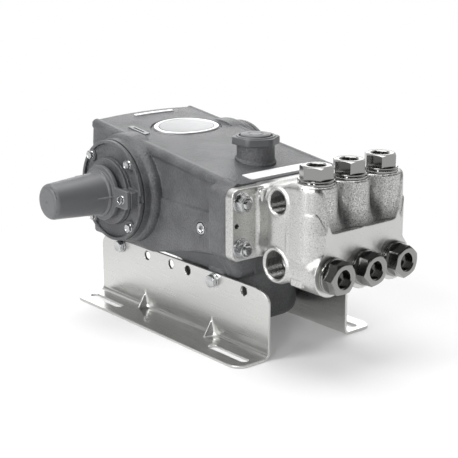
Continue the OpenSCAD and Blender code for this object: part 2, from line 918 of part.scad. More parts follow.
module port_cut(r, y, z) {
    edge = manifold_half + port_out;
    bar_x(gallery_r, -edge, edge, y, z);
    for (s = [-1, 1]) {
        bar_x(r, s > 0 ? edge - port_depth : -edge - 1, s > 0 ? edge + 1 : -edge + port_depth, y, z);
    }
}

module at_studs(y) {
    for (s = [-1, 1], z = [stud_low, stud_low + stud_rise]) {
        translate([s * stud_x, y, z]) rotate([90, 0, 0]) children();
    }
}

module manifold_studs() {
    reach = flange_t + washer_t + nut_h + stud_show;
    place() color("silver") at_studs(-joint_y) {
        translate([0, 0, -stud_grip + 1]) cylinder(r = stud_d / 2 - 0.05, h = stud_grip - 1 + reach - 1);
        translate([0, 0, reach - 1]) cylinder(r1 = stud_d / 2 - 0.05, r2 = stud_d / 2 - 1, h = 1);
    }
}

module manifold_washers() {
    place() color("silver") at_studs(flange_y) difference() {
        cylinder(r = washer_r, h = washer_t);
        translate([0, 0, -1]) cylinder(r = stud_d / 2 + bolt_clear, h = washer_t + 2);
    }
}

module manifold_nuts() {
    place() color("silver") at_studs(flange_y - washer_t) difference() {
        hex_head(nut_af, nut_h);
        translate([0, 0, -1]) cylinder(r = stud_d / 2 + 0.1, h = nut_h + 2);
    }
}

// Valve plug standing on z = 0, with its spigot below
module valve_plug(turn) {
    total = plug_collar_t + plug_hex_h;
    place() color("silver") difference() {
        union() {
            translate([0, 0, -spigot_len]) cylinder(r = spigot_r, h = spigot_len + 1);
            rotate_extrude() polygon([
                [0, 0],
                [plug_collar_r, 0],
                [plug_collar_r, 0.4 * plug_collar_t],
                [plug_collar_r - 1, 0.5 * plug_collar_t],
                [plug_collar_r - 1, 0.6 * plug_collar_t],
                [plug_collar_r, 0.7 * plug_collar_t],
                [plug_collar_r, plug_collar_t - 0.8],
                [plug_collar_r - 0.8, plug_collar_t],
                [0, plug_collar_t]
            ]);
            translate([0, 0, plug_collar_t]) rotate([0, 0, turn]) hex_head(plug_af, plug_hex_h);
        }
        translate([0, 0, total - plug_bore_depth]) cylinder(r = plug_bore_r, h = plug_bore_depth + 1);
    }
}

module discharge_plug(k) {
    translate([(k - 2) * plunger_pitch, tower_y, tower_top]) valve_plug(discharge_turns[k - 1]);
}

module inlet_plug(k) {
    translate([(k - 2) * plunger_pitch, face_y, inlet_h]) rotate([90, 0, 0]) valve_plug(inlet_turns[k - 1]);
}

module discharge_plug_1() { discharge_plug(1); }
module discharge_plug_2() { discharge_plug(2); }
module discharge_plug_3() { discharge_plug(3); }
module inlet_plug_1() { inlet_plug(1); }
module inlet_plug_2() { inlet_plug(2); }
module inlet_plug_3() { inlet_plug(3); }

// Rail drawn for the right side
module rail() {
    difference() {
        union() {
            // Upright plate
            translate([upright_in, 0, 0]) rotate([90, 0, 90]) linear_extrude(rail_t) {
                difference() {
                    translate([0, rail_h / 2]) round_rect(rail_len, rail_h, rail_corner_r);
                    translate([-rail_len, -rail_h]) square([2 * rail_len, rail_h + rail_t + bend_r]);
                }
            }
            // Lower part of the upright plate keeps square ends
            box(
                [upright_in, -rail_len / 2, rail_t + bend_r],
                [upright_out, rail_len / 2, rail_h - rail_corner_r]
            );
            // Bend
            translate([upright_out + bend_r, rail_len / 2, rail_t + bend_r]) rotate([90, 0, 0]) {
                linear_extrude(rail_len) difference() {
                    circle(r = bend_r + rail_t);
                    circle(r = bend_r);
                    translate([0, -2 * bend_r - rail_t]) square(4 * (bend_r + rail_t));
                    translate([-2 * bend_r - rail_t, 0]) square(4 * (bend_r + rail_t));
                }
            }
            // Foot
            difference() {
                translate([(upright_in + foot_out) / 2, 0, 0]) linear_extrude(rail_t) {
                    round_rect(foot_w, rail_len, rail_corner_r);
                    translate([-foot_w / 2, -rail_len / 2]) square([foot_w / 2, rail_len]);
                }
                box(
                    [upright_in - 1, -rail_len, -1],
                    [upright_out + bend_r, rail_len, rail_t + 1]
                );
            }
            // Darts pressed across the bend
            for (y = dart_ys) {
                translate([upright_out, y + dart_w / 2, rail_t]) rotate([90, 0, 0]) {
                    linear_extrude(dart_w) polygon([[0, 0], [dart_reach, 0], [0, dart_h]]);
                }
            }
        }
        // Foot slots
        for (s = [-1, 1]) {
            translate([slot_x, s * slot_span / 2, -1]) {
                linear_extrude(rail_t + 2) {
                    square([slot_w, slot_len - slot_w], center = true);
                    for (e = [-1, 1]) {
                        translate([0, e * (slot_len - slot_w) / 2]) circle(r = slot_w / 2);
                    }
                }
            }
        }
        // Holes in the upright plate
        for (y = concat(spare_holes, rail_bolt_ys)) {
            bar_x(rail_hole_d / 2, upright_in - 1, upright_out + 1, y, rail_hole_h);
        }
    }
}

module rail_right() { place() color("gainsboro") rail(); }
module rail_left() { place() color("gainsboro") mirror([1, 0, 0]) rail(); }

module rail_bolts(s) {
    for (y = rail_bolt_ys) {
        place() color("silver") translate([s * upright_out, y, rail_hole_h]) rotate([0, s * 90, 0]) {
            cylinder(r = rail_washer_r, h = rail_washer_t);
            translate([0, 0, rail_washer_t]) hex_head(rail_head_af, rail_head_h);
            translate([0, 0, -rail_t - rail_bolt_grip + 2]) {
                cylinder(r = rail_bolt_d / 2, h = rail_t + rail_bolt_grip - 1);
            }
        }
    }
}

module rail_bolts_left() { rail_bolts(-1); }
module rail_bolts_right() { rail_bolts(1); }

crankcase();
rear_cover();
rear_cover_screws();
oil_sight_gauge();
oil_drain_plug();
filler_neck();
oil_filler_cap();
nameplate();
label_strip();
rear_bar();
slotted_tag();
side_plug_left();
side_plug_right();
shim_ring_left();
shim_ring_right();
bearing_cover_left();
bearing_cover_right();
cover_screws_left();
cover_screws_right();
drive_shaft();
shaft_protector();
protector_screws();
manifold();
manifold_studs();
manifold_washers();
manifold_nuts();
discharge_plug_1();
discharge_plug_2();
discharge_plug_3();
inlet_plug_1();
inlet_plug_2();
inlet_plug_3();
rail_left();
rail_right();
rail_bolts_left();
rail_bolts_right();
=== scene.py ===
# Triplex plunger pump: painted crankcase, cast stainless manifold, two bent mounting rails.
# Sizes in the sections are millimetres, measured across from the pump's middle plane, back and
# forth from the rails' middle and up from the floor; placed() puts them into the frame.
import math

import bmesh
import bpy
import numpy as np
from mathutils import Matrix, Vector


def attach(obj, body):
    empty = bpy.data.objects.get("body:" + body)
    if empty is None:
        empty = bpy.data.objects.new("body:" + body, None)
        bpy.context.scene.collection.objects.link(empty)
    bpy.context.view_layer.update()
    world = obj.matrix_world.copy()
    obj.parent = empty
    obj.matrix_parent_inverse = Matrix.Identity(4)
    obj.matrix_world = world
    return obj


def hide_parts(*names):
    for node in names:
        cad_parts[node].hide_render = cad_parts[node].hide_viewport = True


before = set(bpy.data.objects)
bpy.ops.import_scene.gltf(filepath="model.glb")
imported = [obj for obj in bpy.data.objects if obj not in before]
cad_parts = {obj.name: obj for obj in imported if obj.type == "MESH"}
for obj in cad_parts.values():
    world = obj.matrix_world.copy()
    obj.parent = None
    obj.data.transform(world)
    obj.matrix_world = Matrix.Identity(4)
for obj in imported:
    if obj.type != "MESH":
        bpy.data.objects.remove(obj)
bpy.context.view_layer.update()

# ----------------------------------------------------------
# Camera
# Worked out from the photograph: 1.26 m away, 40 degrees to the left of the pump's front and 16
# degrees up, through a short telephoto lens, held level.
camera_azimuth = math.radians(-40.26)
camera_elevation = math.radians(15.64)
camera_distance = 1.2594
camera_target = Vector((0.0253, -0.0830, 0.1277))
back = Vector((
    math.sin(camera_azimuth) * math.cos(camera_elevation),
    -math.cos(camera_azimuth) * math.cos(camera_elevation),
    math.sin(camera_elevation),
))
right = Vector((0, 0, 1)).cross(back).normalized()
up = back.cross(right)
camera_data = bpy.data.cameras.new("camera")
camera_data.lens = 93.92
camera_data.sensor_width = 36.0
camera_data.clip_end = 50.0
camera = bpy.data.objects.new("camera", camera_data)
turn = Matrix((right, up, back)).transposed()
camera.matrix_world = Matrix.Translation(camera_target + back * camera_distance) @ turn.to_4x4()
bpy.context.scene.collection.objects.link(camera)
bpy.context.scene.camera = camera
bpy.context.scene.view_settings.view_transform = "Standard"

# ----------------------------------------------------------
# Floor
# A wide sheet of matt white board that the pump stands on. Near the pump it is lit board that
# takes its soft shadow; further out it turns to plain white, both seen and mirrored.


def linear(colour):
    """Linear colour of an sRGB hex string: each part c is c / 12.92 where dark, or else
    ((c + 0.055) / 1.055) to the power 2.4."""
    parts = np.array([int(colour[at:at + 2], 16) for at in (1, 3, 5)]) / 255
    parts = np.where(parts <= 0.04045, parts / 12.92, ((parts + 0.055) / 1.055) ** 2.4)
    return (*parts.tolist(), 1.0)


def add(tree, kind, inputs={}, to=None, **settings):
    """Add one shader node of a kind. Settings are its own properties; inputs gives each socket a
    value, or the output that feeds it, or a node whose first output feeds it; to is the socket
    that this node's first output feeds."""
    node = tree.nodes.new("ShaderNode" + kind)
    for name, value in settings.items():
        setattr(node, name, value)
    for name, value in inputs.items():
        if isinstance(value, bpy.types.Node):
            value = value.outputs[0]
        if isinstance(value, bpy.types.NodeSocket):
            tree.links.new(value, node.inputs[name])
        else:
            node.inputs[name].default_value = value
    if to is not None:
        tree.links.new(node.outputs[0], to)
    return node


def new_finish(name, colour, roughness, metallic):
    """A material of that name with its colour, roughness and metal share set on the surface
    itself. Gives the material, its tree, the surface and the Object coordinates."""
    material = bpy.data.materials.new(name)
    material.use_nodes = True
    tree = material.node_tree
    surface = tree.nodes["Principled BSDF"]
    surface.inputs["Base Color"].default_value = linear(colour)
    surface.inputs["Roughness"].default_value = roughness
    surface.inputs["Metallic"].default_value = metallic
    where = add(tree, "TexCoord").outputs["Object"]
    return material, tree, surface, where


floor_half = 30.0
pump_foot = (0.08, -0.03, 0.0)
white_from = 0.12
white_at = 0.5
least_white = 0.17
floor_mesh = bpy.data.meshes.new("floor")
floor_mesh.from_pydata(
    [(-floor_half, -floor_half, 0), (floor_half, -floor_half, 0),
     (floor_half, floor_half, 0), (-floor_half, floor_half, 0)],
    [], [(0, 1, 2, 3)],
)
floor = bpy.data.objects.new("floor", floor_mesh)
bpy.context.scene.collection.objects.link(floor)
board, tree, surface, where = new_finish("matt_white_board", "#f2f2f2", 0.9, 0.0)
surface.inputs["Specular IOR Level"].default_value = 0.1
seen = add(tree, "LightPath")
seen_or_mirrored = add(
    tree, "Math",
    {0: seen.outputs["Is Camera Ray"], 1: seen.outputs["Is Glossy Ray"]}, operation="ADD",
)
seen_anyhow = add(
    tree, "Math",
    {0: seen_or_mirrored, 1: seen.outputs["Is Transmission Ray"]}, operation="ADD",
    use_clamp=True,
)
off_pump = add(
    tree, "VectorMath", {0: where, 1: pump_foot}, operation="DISTANCE",
).outputs["Value"]
far_off = add(
    tree, "MapRange", {0: off_pump, 1: white_from, 2: white_at, 3: least_white, 4: 1.0},
    interpolation_type="SMOOTHSTEP",
)
white_share = add(tree, "Math", {0: far_off, 1: seen_anyhow}, operation="MULTIPLY")
paper_white = add(tree, "Emission", {"Color": (1, 1, 1, 1), "Strength": 1.0})
add(
    tree, "MixShader", {0: white_share, 1: surface, 2: paper_white},
    to=tree.nodes["Material Output"].inputs["Surface"],
)
floor_mesh.materials.append(board)

# ----------------------------------------------------------
# Light
# A pale sweep behind the pump, white paper along the horizon and a dark room on the camera's side.
# Softboxes high on the left and overhead give the level; low ones on the left, beside the camera
# and behind give the steel its bright streaks and the sloping top its sheen.
room_level = 0.05
sweep_level = 0.9
world = bpy.data.worlds.new("studio")
bpy.context.scene.world = world
world.use_nodes = True
tree = world.node_tree
sky = tree.nodes["Background"]
direction = add(tree, "TexCoord").outputs["Generated"]
height = add(tree, "SeparateXYZ", {0: direction}).outputs["Z"]
raised = add(
    tree, "MapRange", {0: height, 1: 0.08, 2: 0.3, 3: 0.0, 4: 1.0},
    interpolation_type="SMOOTHSTEP",
)
away = add(
    tree, "VectorMath",
    {0: direction, 1: (-math.sin(camera_azimuth), math.cos(camera_azimuth), 0)},
    operation="DOT_PRODUCT",
).outputs["Value"]
behind = add(
    tree, "MapRange", {0: away, 1: 0.0, 2: 0.6, 3: 0.0, 4: 1.0}, interpolation_type="SMOOTHSTEP",
)
sweep = add(tree, "Math", {0: raised, 1: behind}, operation="MULTIPLY")
paper_edge = add(
    tree, "MapRange", {0: height, 1: 0.03, 2: 0.1, 3: 1.0, 4: room_level},
    interpolation_type="SMOOTHSTEP",
)
add(
    tree, "MapRange", {0: sweep, 1: 0.0, 2: 1.0, 3: paper_edge, 4: sweep_level},
    to=sky.inputs["Color"],
)

for name, at, aim, width, height, power in (
    ("key_softbox", (-2.3, 0.55, 2.2), (0.08, -0.03, 0.12), 1.0, 1.0, 46),
    ("top_softbox", (0.15, 0.2, 2.2), (0.08, -0.05, 0.1), 2.0, 2.0, 42),
    ("left_softbox", (-1.9, -0.15, 0.6), (0.08, -0.05, 0.12), 0.35, 0.7, 9),
    ("camera_softbox", (-1.35, -1.0, 0.8), (0.08, -0.1, 0.12), 0.25, 0.7, 7),
    ("rear_softbox", (1.68, 1.87, 0.87), (0.08, 0.03, 0.2), 1.6, 0.8, 8),
):
    lamp_data = bpy.data.lights.new(name, "AREA")
    lamp_data.shape = "RECTANGLE"
    lamp_data.size = width
    lamp_data.size_y = height
    lamp_data.energy = power
    lamp = bpy.data.objects.new(name, lamp_data)
    lamp.location = at
    lamp.rotation_euler = (Vector(aim) - Vector(at)).to_track_quat("-Z", "Y").to_euler()
    bpy.context.scene.collection.objects.link(lamp)

# ----------------------------------------------------------
# Rails
# Two mounting rails of 3 mm stainless sheet, laser cut, bent once to an L with the feet turned
# outwards, with two slots in each foot and a row of holes and two pressed darts in the upright.
middle = 80.0
sides = ((-1, "left"), (1, "right"))


def placed(points):
    """Points in millimetres about the pump's middle plane, as metres in the frame."""
    return (points + np.array([middle, 0.0, 0.0])) / 1000


def make(name, points, faces, normals=None):
    """Object from points in millimetres and lists of faces. Given normals are kept; otherwise
    edges of more than 32 degrees stay sharp."""
    mesh = bpy.data.meshes.new(name)
    rows = [face for group in faces for face in group.tolist()]
    mesh.from_pydata(placed(points).tolist(), [], rows)
    mesh.shade_smooth()
    if normals is None:
        mesh.set_sharp_from_angle(angle=math.radians(32))
    else:
        mesh.normals_split_custom_set_from_vertices(normals.tolist())
    made = bpy.data.objects.new(name, mesh)
    bpy.context.scene.collection.objects.link(made)
    return made


def fit(made, material, slot, *nodes):
    """Give a piece its material, set it on the pump and let it stand for its nodes. The slot is
    not used.
    """
    made.data.materials.clear()
    made.data.materials.append(material)
    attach(made, "root")
    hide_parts(*nodes)


def joined(a, b, r):
    """Distance to two bodies together, with a fillet of radius r where they meet."""
    return np.maximum(r, np.minimum(a, b)) - np.hypot(np.maximum(r - a, 0), np.maximum(r - b, 0))


def within(a, b, r):
    """Distance to what two bodies share, with its edge rounded to radius r."""
    return np.minimum(-r, np.maximum(a, b)) + np.hypot(np.maximum(r + a, 0), np.maximum(r + b, 0))


def cut(a, b, r):
    """Distance to a body less another, with the rim of the cut rounded to radius r."""
    return within(a, -b, r)


def span(w, low, high):
    """Distance to the slab between two heights."""
    return np.abs(w - (low + high) / 2) - (high - low) / 2


def round_rect(u, v, half_u, half_v, r):
    """Distance in a plane to a rectangle with corners of radius r: the distance outside its
    inner rectangle, less r."""
    du = np.abs(u) - half_u + r
    dv = np.abs(v) - half_v + r
    return np.hypot(np.maximum(du, 0), np.maximum(dv, 0)) + np.minimum(np.maximum(du, dv), 0) - r


def grained(tree, surface, where, grain, detail, roughness=None, bump=None, fine=0.5):
    """Cover a surface with noise of a grain size in millimetres. As the noise goes from 0.3 to
    0.7 it runs the roughness between two values, and it stands out as bumps of a strength and a
    height in millimetres. Gives the noise."""
    pattern = add(
        tree, "TexNoise",
        {"Vector": where, "Scale": 1000 / grain, "Detail": detail, "Roughness": fine},
    )
    if roughness:
        add(
            tree, "MapRange", {0: pattern, 1: 0.3, 2: 0.7, 3: roughness[0], 4: roughness[1]},
            to=surface.inputs["Roughness"],
        )
    if bump:
        add(
            tree, "Bump", {"Height": pattern, "Strength": bump[0], "Distance": bump[1] / 1000},
            to=surface.inputs["Normal"],
        )
    return pattern


def slope_of(field, points, reach):
    """Slope of a field at points: its change over a small reach to either side of each."""
    slope = np.empty_like(points)
    for axis in range(3):
        aside = np.zeros(3)
        aside[axis] = reach
        slope[:, axis] = (field(*(points + aside).T) - field(*(points - aside).T)) / (2 * reach)
    return slope


def skin(field, low, high, step):
    """Surface where a body's distance field is zero. Each cube of a grid that it passes through
    gets one point, the mean of the places where the cube's edges cross zero, moved along the
    field's slope onto the surface. Each crossed edge gets the face that joins its four cubes.
    Castings and pressings are made this way, because their fillets run into each other."""
    axes = [np.arange(a, b + step, step) for a, b in zip(low, high)]
    value = field(*np.meshgrid(*axes, indexing="ij"))
    cells = tuple(np.array(value.shape) - 1)
    sums = np.zeros((4, np.prod(cells)))
    rings = []
    for axis in range(3):
        here = np.moveaxis(value, axis, 0)[:-1]
        there = np.moveaxis(value, axis, 0)[1:]
        edge = np.argwhere((here < 0) != (there < 0))
        a = here[tuple(edge.T)]
        b = there[tuple(edge.T)]
        order = [axis] + [other for other in range(3) if other != axis]
        back_order = np.argsort(order)
        edge = edge[:, back_order]
        crossing = edge.astype(float)
        crossing[:, axis] += a / (a - b)
        second, third = (axis + 1) % 3, (axis + 2) % 3
        ring = []
        for s, t in ((0, 0), (1, 0), (1, 1), (0, 1)):
            cell = edge.copy()
            cell[:, second] -= s
            cell[:, third] -= t
            flat = np.ravel_multi_index(tuple(cell.T), cells)
            for part in range(3):
                sums[part] += np.bincount(flat, crossing[:, part], sums.shape[1])
            sums[3] += np.bincount(flat, minlength=sums.shape[1])
            ring.append(flat)
        ring = np.stack(ring, axis=1)
        ring[a >= 0] = ring[a >= 0][:, ::-1]
        rings.append(ring)
    used = sums[3] > 0
    number = np.cumsum(used) - 1
    points = np.array(low) + step * (sums[:3, used] / sums[3, used]).T
    for _ in range(4):
        slope = slope_of(field, points, 0.2)
        move = slope * (field(*points.T) / np.maximum((slope ** 2).sum(axis=1), 0.2))[:, None]
        points = points - np.clip(move, -step, step)
    slope = slope_of(field, points, 0.15)
    normals = slope / np.maximum(np.linalg.norm(slope, axis=1), 1e-9)[:, None]
    return points, [number[np.concatenate(rings)]], normals


rail_length = 300.0
rail_height = 75.0
rail_sheet = 3.0
upright_in = 55.0
foot_edge = 100.0
bend_middle_r = 6.5
rail_corner_r = 14.0
slot_middle_x = 80.0
slot_middle_y = 112.0
clip_y = 138.5
clip_run, clip_rise, clip_edge = 11.5, 7.0, 13.46
rail_hole_z = 66.5
rail_bolt_ys = [110.0, -61.5]
rail_hole_ys = [59.0, 14.5, -16.0, -110.5] + rail_bolt_ys
dart_ys = [64.0, -57.5]
dart_half = 5.0
dart_reach = 12.0
dart_height = 19.0
dart_lean = 1 / math.hypot(1 / dart_reach, 1 / dart_height)


def rail_field(x, y, z):
    """The sheet is all within half its thickness of a line that runs down the upright, round the
    bend and out along the foot; within the cut outline of each leg, whose upper corners are
    clipped; less holes and slots. Each dart is a ridge from the upright down to the foot, whose
    flanks spread as they near the bend."""
    u = np.abs(x) - upright_in - rail_sheet / 2
    v = z - rail_sheet / 2
    round_bend = np.hypot(u - bend_middle_r, v - bend_middle_r) - bend_middle_r
    off_line = np.where(
        (u < bend_middle_r) & (v < bend_middle_r), np.abs(round_bend),
        np.where(u - bend_middle_r > v - bend_middle_r, np.abs(v), np.abs(u)),
    )
    sheet = off_line - rail_sheet / 2
    along = np.abs(y)
    past = np.abs(x) - upright_in
    clip = ((along - clip_y) * clip_rise + (z - rail_height) * clip_run) / clip_edge
    upright_end = within(round_rect(along, z, rail_length / 2, rail_height, 3.0), clip, 6.0)
    foot_end = round_rect(along, past, rail_length / 2, foot_edge - upright_in, rail_corner_r)
    outline = np.where(z - rail_sheet > past, upright_end, foot_end)
    body = within(sheet, outline, 0.5)
    for dart_y in dart_ys:
        inner = u - rail_sheet / 2
        over = v - rail_sheet / 2
        ridge = (inner / dart_reach + over / dart_height - 1.0) * dart_lean
        flank = np.hypot(y - dart_y, 0.7) - 0.5
        pyramid = (flank + ridge * dart_half / dart_lean) / math.hypot(1.0, dart_half / dart_lean)
        pyramid = np.maximum(pyramid, np.maximum(-inner - 1.0, -over - 1.0))
        body = joined(body, pyramid, 1.2)
    slots = round_rect(np.abs(x) - slot_middle_x, along - slot_middle_y, 5.0, 30.0, 5.0)
    body = np.maximum(body, np.where(z < 6, -slots, -50.0))
    for hole_y in rail_hole_ys:
        hole = np.hypot(y - hole_y, z - rail_hole_z) - 5.0
        body = np.maximum(body, -hole)
    return body


# Rolled stainless sheet, satin: fine scratches along the rolling direction, drawn 1 mm apart so
# that they show, which spread highlights into a soft vertical sheen.
sheet_steel, tree, surface, where = new_finish("rolled_stainless_sheet", "#cfcfcd", 0.36, 1.0)
rolled = add(tree, "Mapping", {"Vector": where, "Scale": (1.0, 0.02, 1.0)})
grained(tree, surface, rolled, 1.0, 3.0, (0.26, 0.32), (0.08, 0.02), fine=0.6)
for side, name in sides:
    low_x, high_x = sorted((side * 53, side * 102))
    shape = skin(rail_field, (low_x, -152, -2), (high_x, 152, 77), 1.15)
    fit(make("rail_sheet_" + name, *shape), sheet_steel, "rail_sheet", "rail_" + name)

# ----------------------------------------------------------
# Rail bolts
# Four zinc plated M8 hexagon bolts with plain washers hold the uprights to the crankcase, two a
# side. Heads are forged and trimmed, with a 30 degree chamfer and a washer face.
rail_outside = 58.0
angles = np.arange(96) * (2 * np.pi / 96)
ways = {
    "up": np.array([[1, 0, 0], [0, 1, 0], [0, 0, 1]]),
    "front": np.array([[1, 0, 0], [0, 0, 1], [0, -1, 0]]),
    "rear": np.array([[1, 0, 0], [0, 0, -1], [0, 1, 0]]),
    "left": np.array([[0, 0, 1], [0, 1, 0], [-1, 0, 0]]),
    "right": np.array([[0, 0, -1], [0, 1, 0], [1, 0, 0]]),
}


def turned(rings, closed=False):
    """A piece turned about an upright axis. Each ring gives a radius and a height, one number or
    one for each angle; a point is (radius cos angle, radius sin angle, height). The first and
    last rings are the points where the axis comes out, unless the rings close into a sleeve."""
    radius = np.array([np.broadcast_to(np.asarray(r, float), angles.shape) for r, _ in rings])
    height = np.array([np.broadcast_to(np.asarray(h, float), angles.shape) for _, h in rings])
    points = np.stack([radius * np.cos(angles), radius * np.sin(angles), height], axis=-1)
    count, around = radius.shape
    index = np.arange(count * around).reshape(count, around)
    if closed:
        rows = np.vstack([index, index[:1]])
    else:
        rows = index[1:-1]
    beside = np.roll(rows, -1, axis=1)
    quads = np.stack([rows[:-1], beside[:-1], beside[1:], rows[1:]], axis=-1).reshape(-1, 4)
    points = points.reshape(-1, 3)
    if closed:
        return points, [quads]
    first, last = index[0, 0], index[-1, 0]
    low_cap = np.stack([np.full(around, first), beside[0], rows[0]], axis=-1)
    high_cap = np.stack([np.full(around, last), rows[-1], beside[-1]], axis=-1)
    kept = np.zeros(len(points), bool)
    kept[rows.ravel()] = True
    kept[[first, last]] = True
    number = np.cumsum(kept) - 1
    return points[kept], [number[quads], number[low_cap], number[high_cap]]


def hexagon(across, turn=0.0):
    """Radius of a hexagon at each angle: half its width over the cosine of the angle from the
    middle of its flat."""
    part = np.mod(angles - math.radians(turn), np.pi / 3) - np.pi / 6
    return across / 2 / np.cos(part)


def chamfered(across, low, high, top_r, turn=0.0, fall=0.577):
    """Rings of a hexagon whose corners are turned off by a cone: the flats run up to the height
    where the cone meets them, lowest at the corners."""
    flat = hexagon(across, turn)
    meet = high - np.maximum(flat - top_r, 0) * fall
    return [(flat, low), (flat, meet), (top_r, high)]


def stand(shape, at, way):
    """Turn a shape to face one way and move its foot to a point."""
    points, faces = shape
    return points @ ways[way] + np.array(at), faces


def gather(shapes):
    """Put several shapes into one."""
    points, faces, count = [], [], 0
    for some_points, some_faces in shapes:
        points.append(some_points)
        faces += [group + count for group in some_faces]
        count += len(some_points)
    return np.vstack(points), faces


# Zinc plated steel, blue passivated: a soft grey gloss, with faint cloudy patches a few
# millimetres wide from the plating bath.
zinc, tree, surface, where = new_finish("zinc_plated_steel", "#c2c3c4", 0.24, 1.0)
grained(tree, surface, where, 3.0, 4.0, (0.16, 0.32), (0.2, 0.1))

washer = [(0, 0), (7.7, 0), (8.0, 0.3), (8.0, 1.2), (7.7, 1.5), (6.1, 1.5), (6.0, 1.8)]
head = chamfered(13.0, 1.8, 6.8, 5.9)
bolt = turned(washer + head + [(5.3, 6.8), (4.6, 6.45), (0, 6.4)])
for side, name in sides:
    bolts = gather([stand(bolt, (side * rail_outside, y, rail_hole_z), name) for y in rail_bolt_ys])
    fit(make("rail_bolt_heads_" + name, *bolts), zinc, "plated_steel", "rail_bolts_" + name)

# ----------------------------------------------------------
# Crankcase
# One iron sand casting, spray painted: a tall case with a sloping crowned top and a bead along
# its side edges, round bearing housings, a flange block in front and a sump between the rails.
shaft_y = 70.5
shaft_z = 147.5
case_half = 74.0
case_rear = 146.0
case_front = -114.0
top_lean = math.radians(7.2)
top_slope = math.tan(top_lean)
crown = 3.0
step_line_z = 146.4
bead_x = 69.2
bead_r = 6.2
skirt_low, skirt_high = 75.4, 104.0
skirt_front, skirt_rear = -101.0, 137.0
sump_y = -44.0
sump_half_x, sump_half_y = 50.0, 52.0
sump_low = 16.0
pad_r = 14.0
plate_x = 8.0
plate_y = 67.0
housing_r = 57.5
housing_foot_r = 62.0
housing_face = 93.0
plug_y = -59.5
plug_z = 126.5
flange_z = 143.5
flange_half_x = 86.0
flange_half_z = 38.0
flange_corner_r = 9.0


def top_z(y):
    """Height of the case's top on its middle line, which falls evenly towards the front."""
    return 219.0 - (case_rear - y) * top_slope


def top_at(x, y):
    """Height of the top: the even fall, less a crown of 3 mm across that flattens out towards
    the front, down to the height of the side edges."""
    flat = 0.77 * np.clip((20.0 - y) / 110.0, 0, 1)
    return top_z(y) - crown * ((x / case_half) ** 2 * (1 - flat) + flat)


def in_oval(x, y, half_x, half_y):
    """Distance, nearly, to an oval about the nameplate's middle: its radius in shares of the two
    half widths, less one, times the smaller."""
    return (np.hypot((x - plate_x) / half_x, (y - plate_y) / half_y) - 1.0) * half_y


def case_field(x, y, z):
    """The case is what its side walls, crowned top, rear and front walls and slanting lower edge
    share; the bead, housings, flange block, skirt, sump and rail pads are joined on by fillets.
    Each housing is a foot ring and a longer barrel. The nameplate's oval pocket is cut last."""
    out = np.abs(x)
    from_top = (z - top_at(x, y)) * math.cos(top_lean)
    over = np.clip((z - step_line_z) / 0.9, 0, 1)
    wall = out - (case_half - over * (1.9 - 0.022 * (z - 147.0)))
    rear = y - np.interp(z, [188.8, 216.0], [case_rear, 142.5])
    lower = np.interp(y, [case_front, -57.0, 30.0, 137.0], [104.0, 99.2, 80.0, 80.0]) - z
    body = within(within(wall, from_top, 5.0), lower, 4.0)
    body = within(body, rear, 7.0)
    bead = np.hypot(out - bead_x, (z - top_z(y) + 8.0) * 0.992) - bead_r
    body = joined(body, np.maximum(bead, y - 139.0), 0.8)
    slant = (out - 72.0) * 0.834 - (z - skirt_high) * 0.552
    skirt = within(slant, span(z, skirt_low, skirt_high), 1.5)
    skirt = within(skirt, span(y, skirt_front, skirt_rear), 9.0)
    side_rib = np.maximum(np.hypot(slant, y + 83.0) - 1.6, span(z, 76.0, 102.0))
    front_rib = np.maximum(np.hypot(out - 33.0, y + 100.5) - 1.8, span(z, 76.0, 102.0))
    skirt = joined(joined(skirt, side_rib, 1.5), front_rib, 1.5)
    body = joined(body, skirt, 1.5)
    round_off = np.hypot(y - shaft_y, z - shaft_z)
    past_foot = round_off - housing_foot_r
    cone = (past_foot * 2.0 + (out - 82.5) * 4.5) / 4.92
    foot_ring = within(np.maximum(past_foot, span(out, 60.0, 92.0)), cone, 5.0)
    barrel = within(round_off - housing_r, span(out, 60.0, housing_face), 0.6)
    body = joined(body, joined(foot_ring, barrel, 1.0), 0.8)
    sump_end_r = np.where(y > sump_y, 6.0, 32.0)
    sump = round_rect(x, y - sump_y, sump_half_x, sump_half_y, sump_end_r)
    sump = within(sump, span(z, sump_low, 106.0), 14.0)
    body = joined(body, sump, 4.0)
    for pad_y in rail_bolt_ys:
        pad = np.hypot(y - pad_y, z - rail_hole_z) - pad_r
        pad = within(pad, out - upright_in, 1.0)
        body = joined(body, pad, 4.0)
    flange = round_rect(x, z - flange_z, flange_half_x, flange_half_z, flange_corner_r)
    flange = within(flange, span(y, -130.0, -86.0), 3.0)
    flange = np.maximum(flange, 50.0 - out)
    body = joined(body, flange, 2.0)
    body = within(body, case_front - y, 0.6)
    seat = np.hypot(y - plug_y, z - plug_z)
    body = joined(body, np.maximum(seat - 9.5, out - 74.4), 1.5)
    pocket = np.maximum(in_oval(x, y, 46.4, 30.4), -from_top - 1.5)
    body = np.where(z > 190.0, cut(body, pocket, 0.5), body)
    return np.maximum(body, -np.maximum(seat - 6.8, 69.0 - out))


# Enamel over a sand casting: satin grey, with the sand's grain (drawn 2.2 mm wide so that it
# shows) standing through the paint, and a slow unevenness of the wall a few centimetres across.
enamel, tree, surface, where = new_finish("sand_cast_enamel", "#545557", 0.4, 0.0)
sand = grained(tree, surface, where, 2.2, 3.0, (0.3, 0.46), fine=0.6)
waves = add(tree, "TexNoise", {"Vector": where, "Scale": 1 / 0.03, "Detail": 2.0})
uneven = add(tree, "Bump", {"Height": waves, "Strength": 0.5, "Distance": 0.0006})
add(
    tree, "Bump",
    {"Height": sand, "Strength": 1.0, "Distance": 0.0011, "Normal": uneven},
    to=surface.inputs["Normal"],
)
mottle = add(tree, "Math", {0: waves, 1: sand}, operation="MULTIPLY")
spread = add(tree, "MapRange", {0: mottle, 1: 0.12, 2: 0.4, 3: 0.0, 4: 1.0})
shade = add(
    tree, "Mix", {0: spread, 6: linear("#454648"), 7: linear("#626365")},
    data_type="RGBA",
)
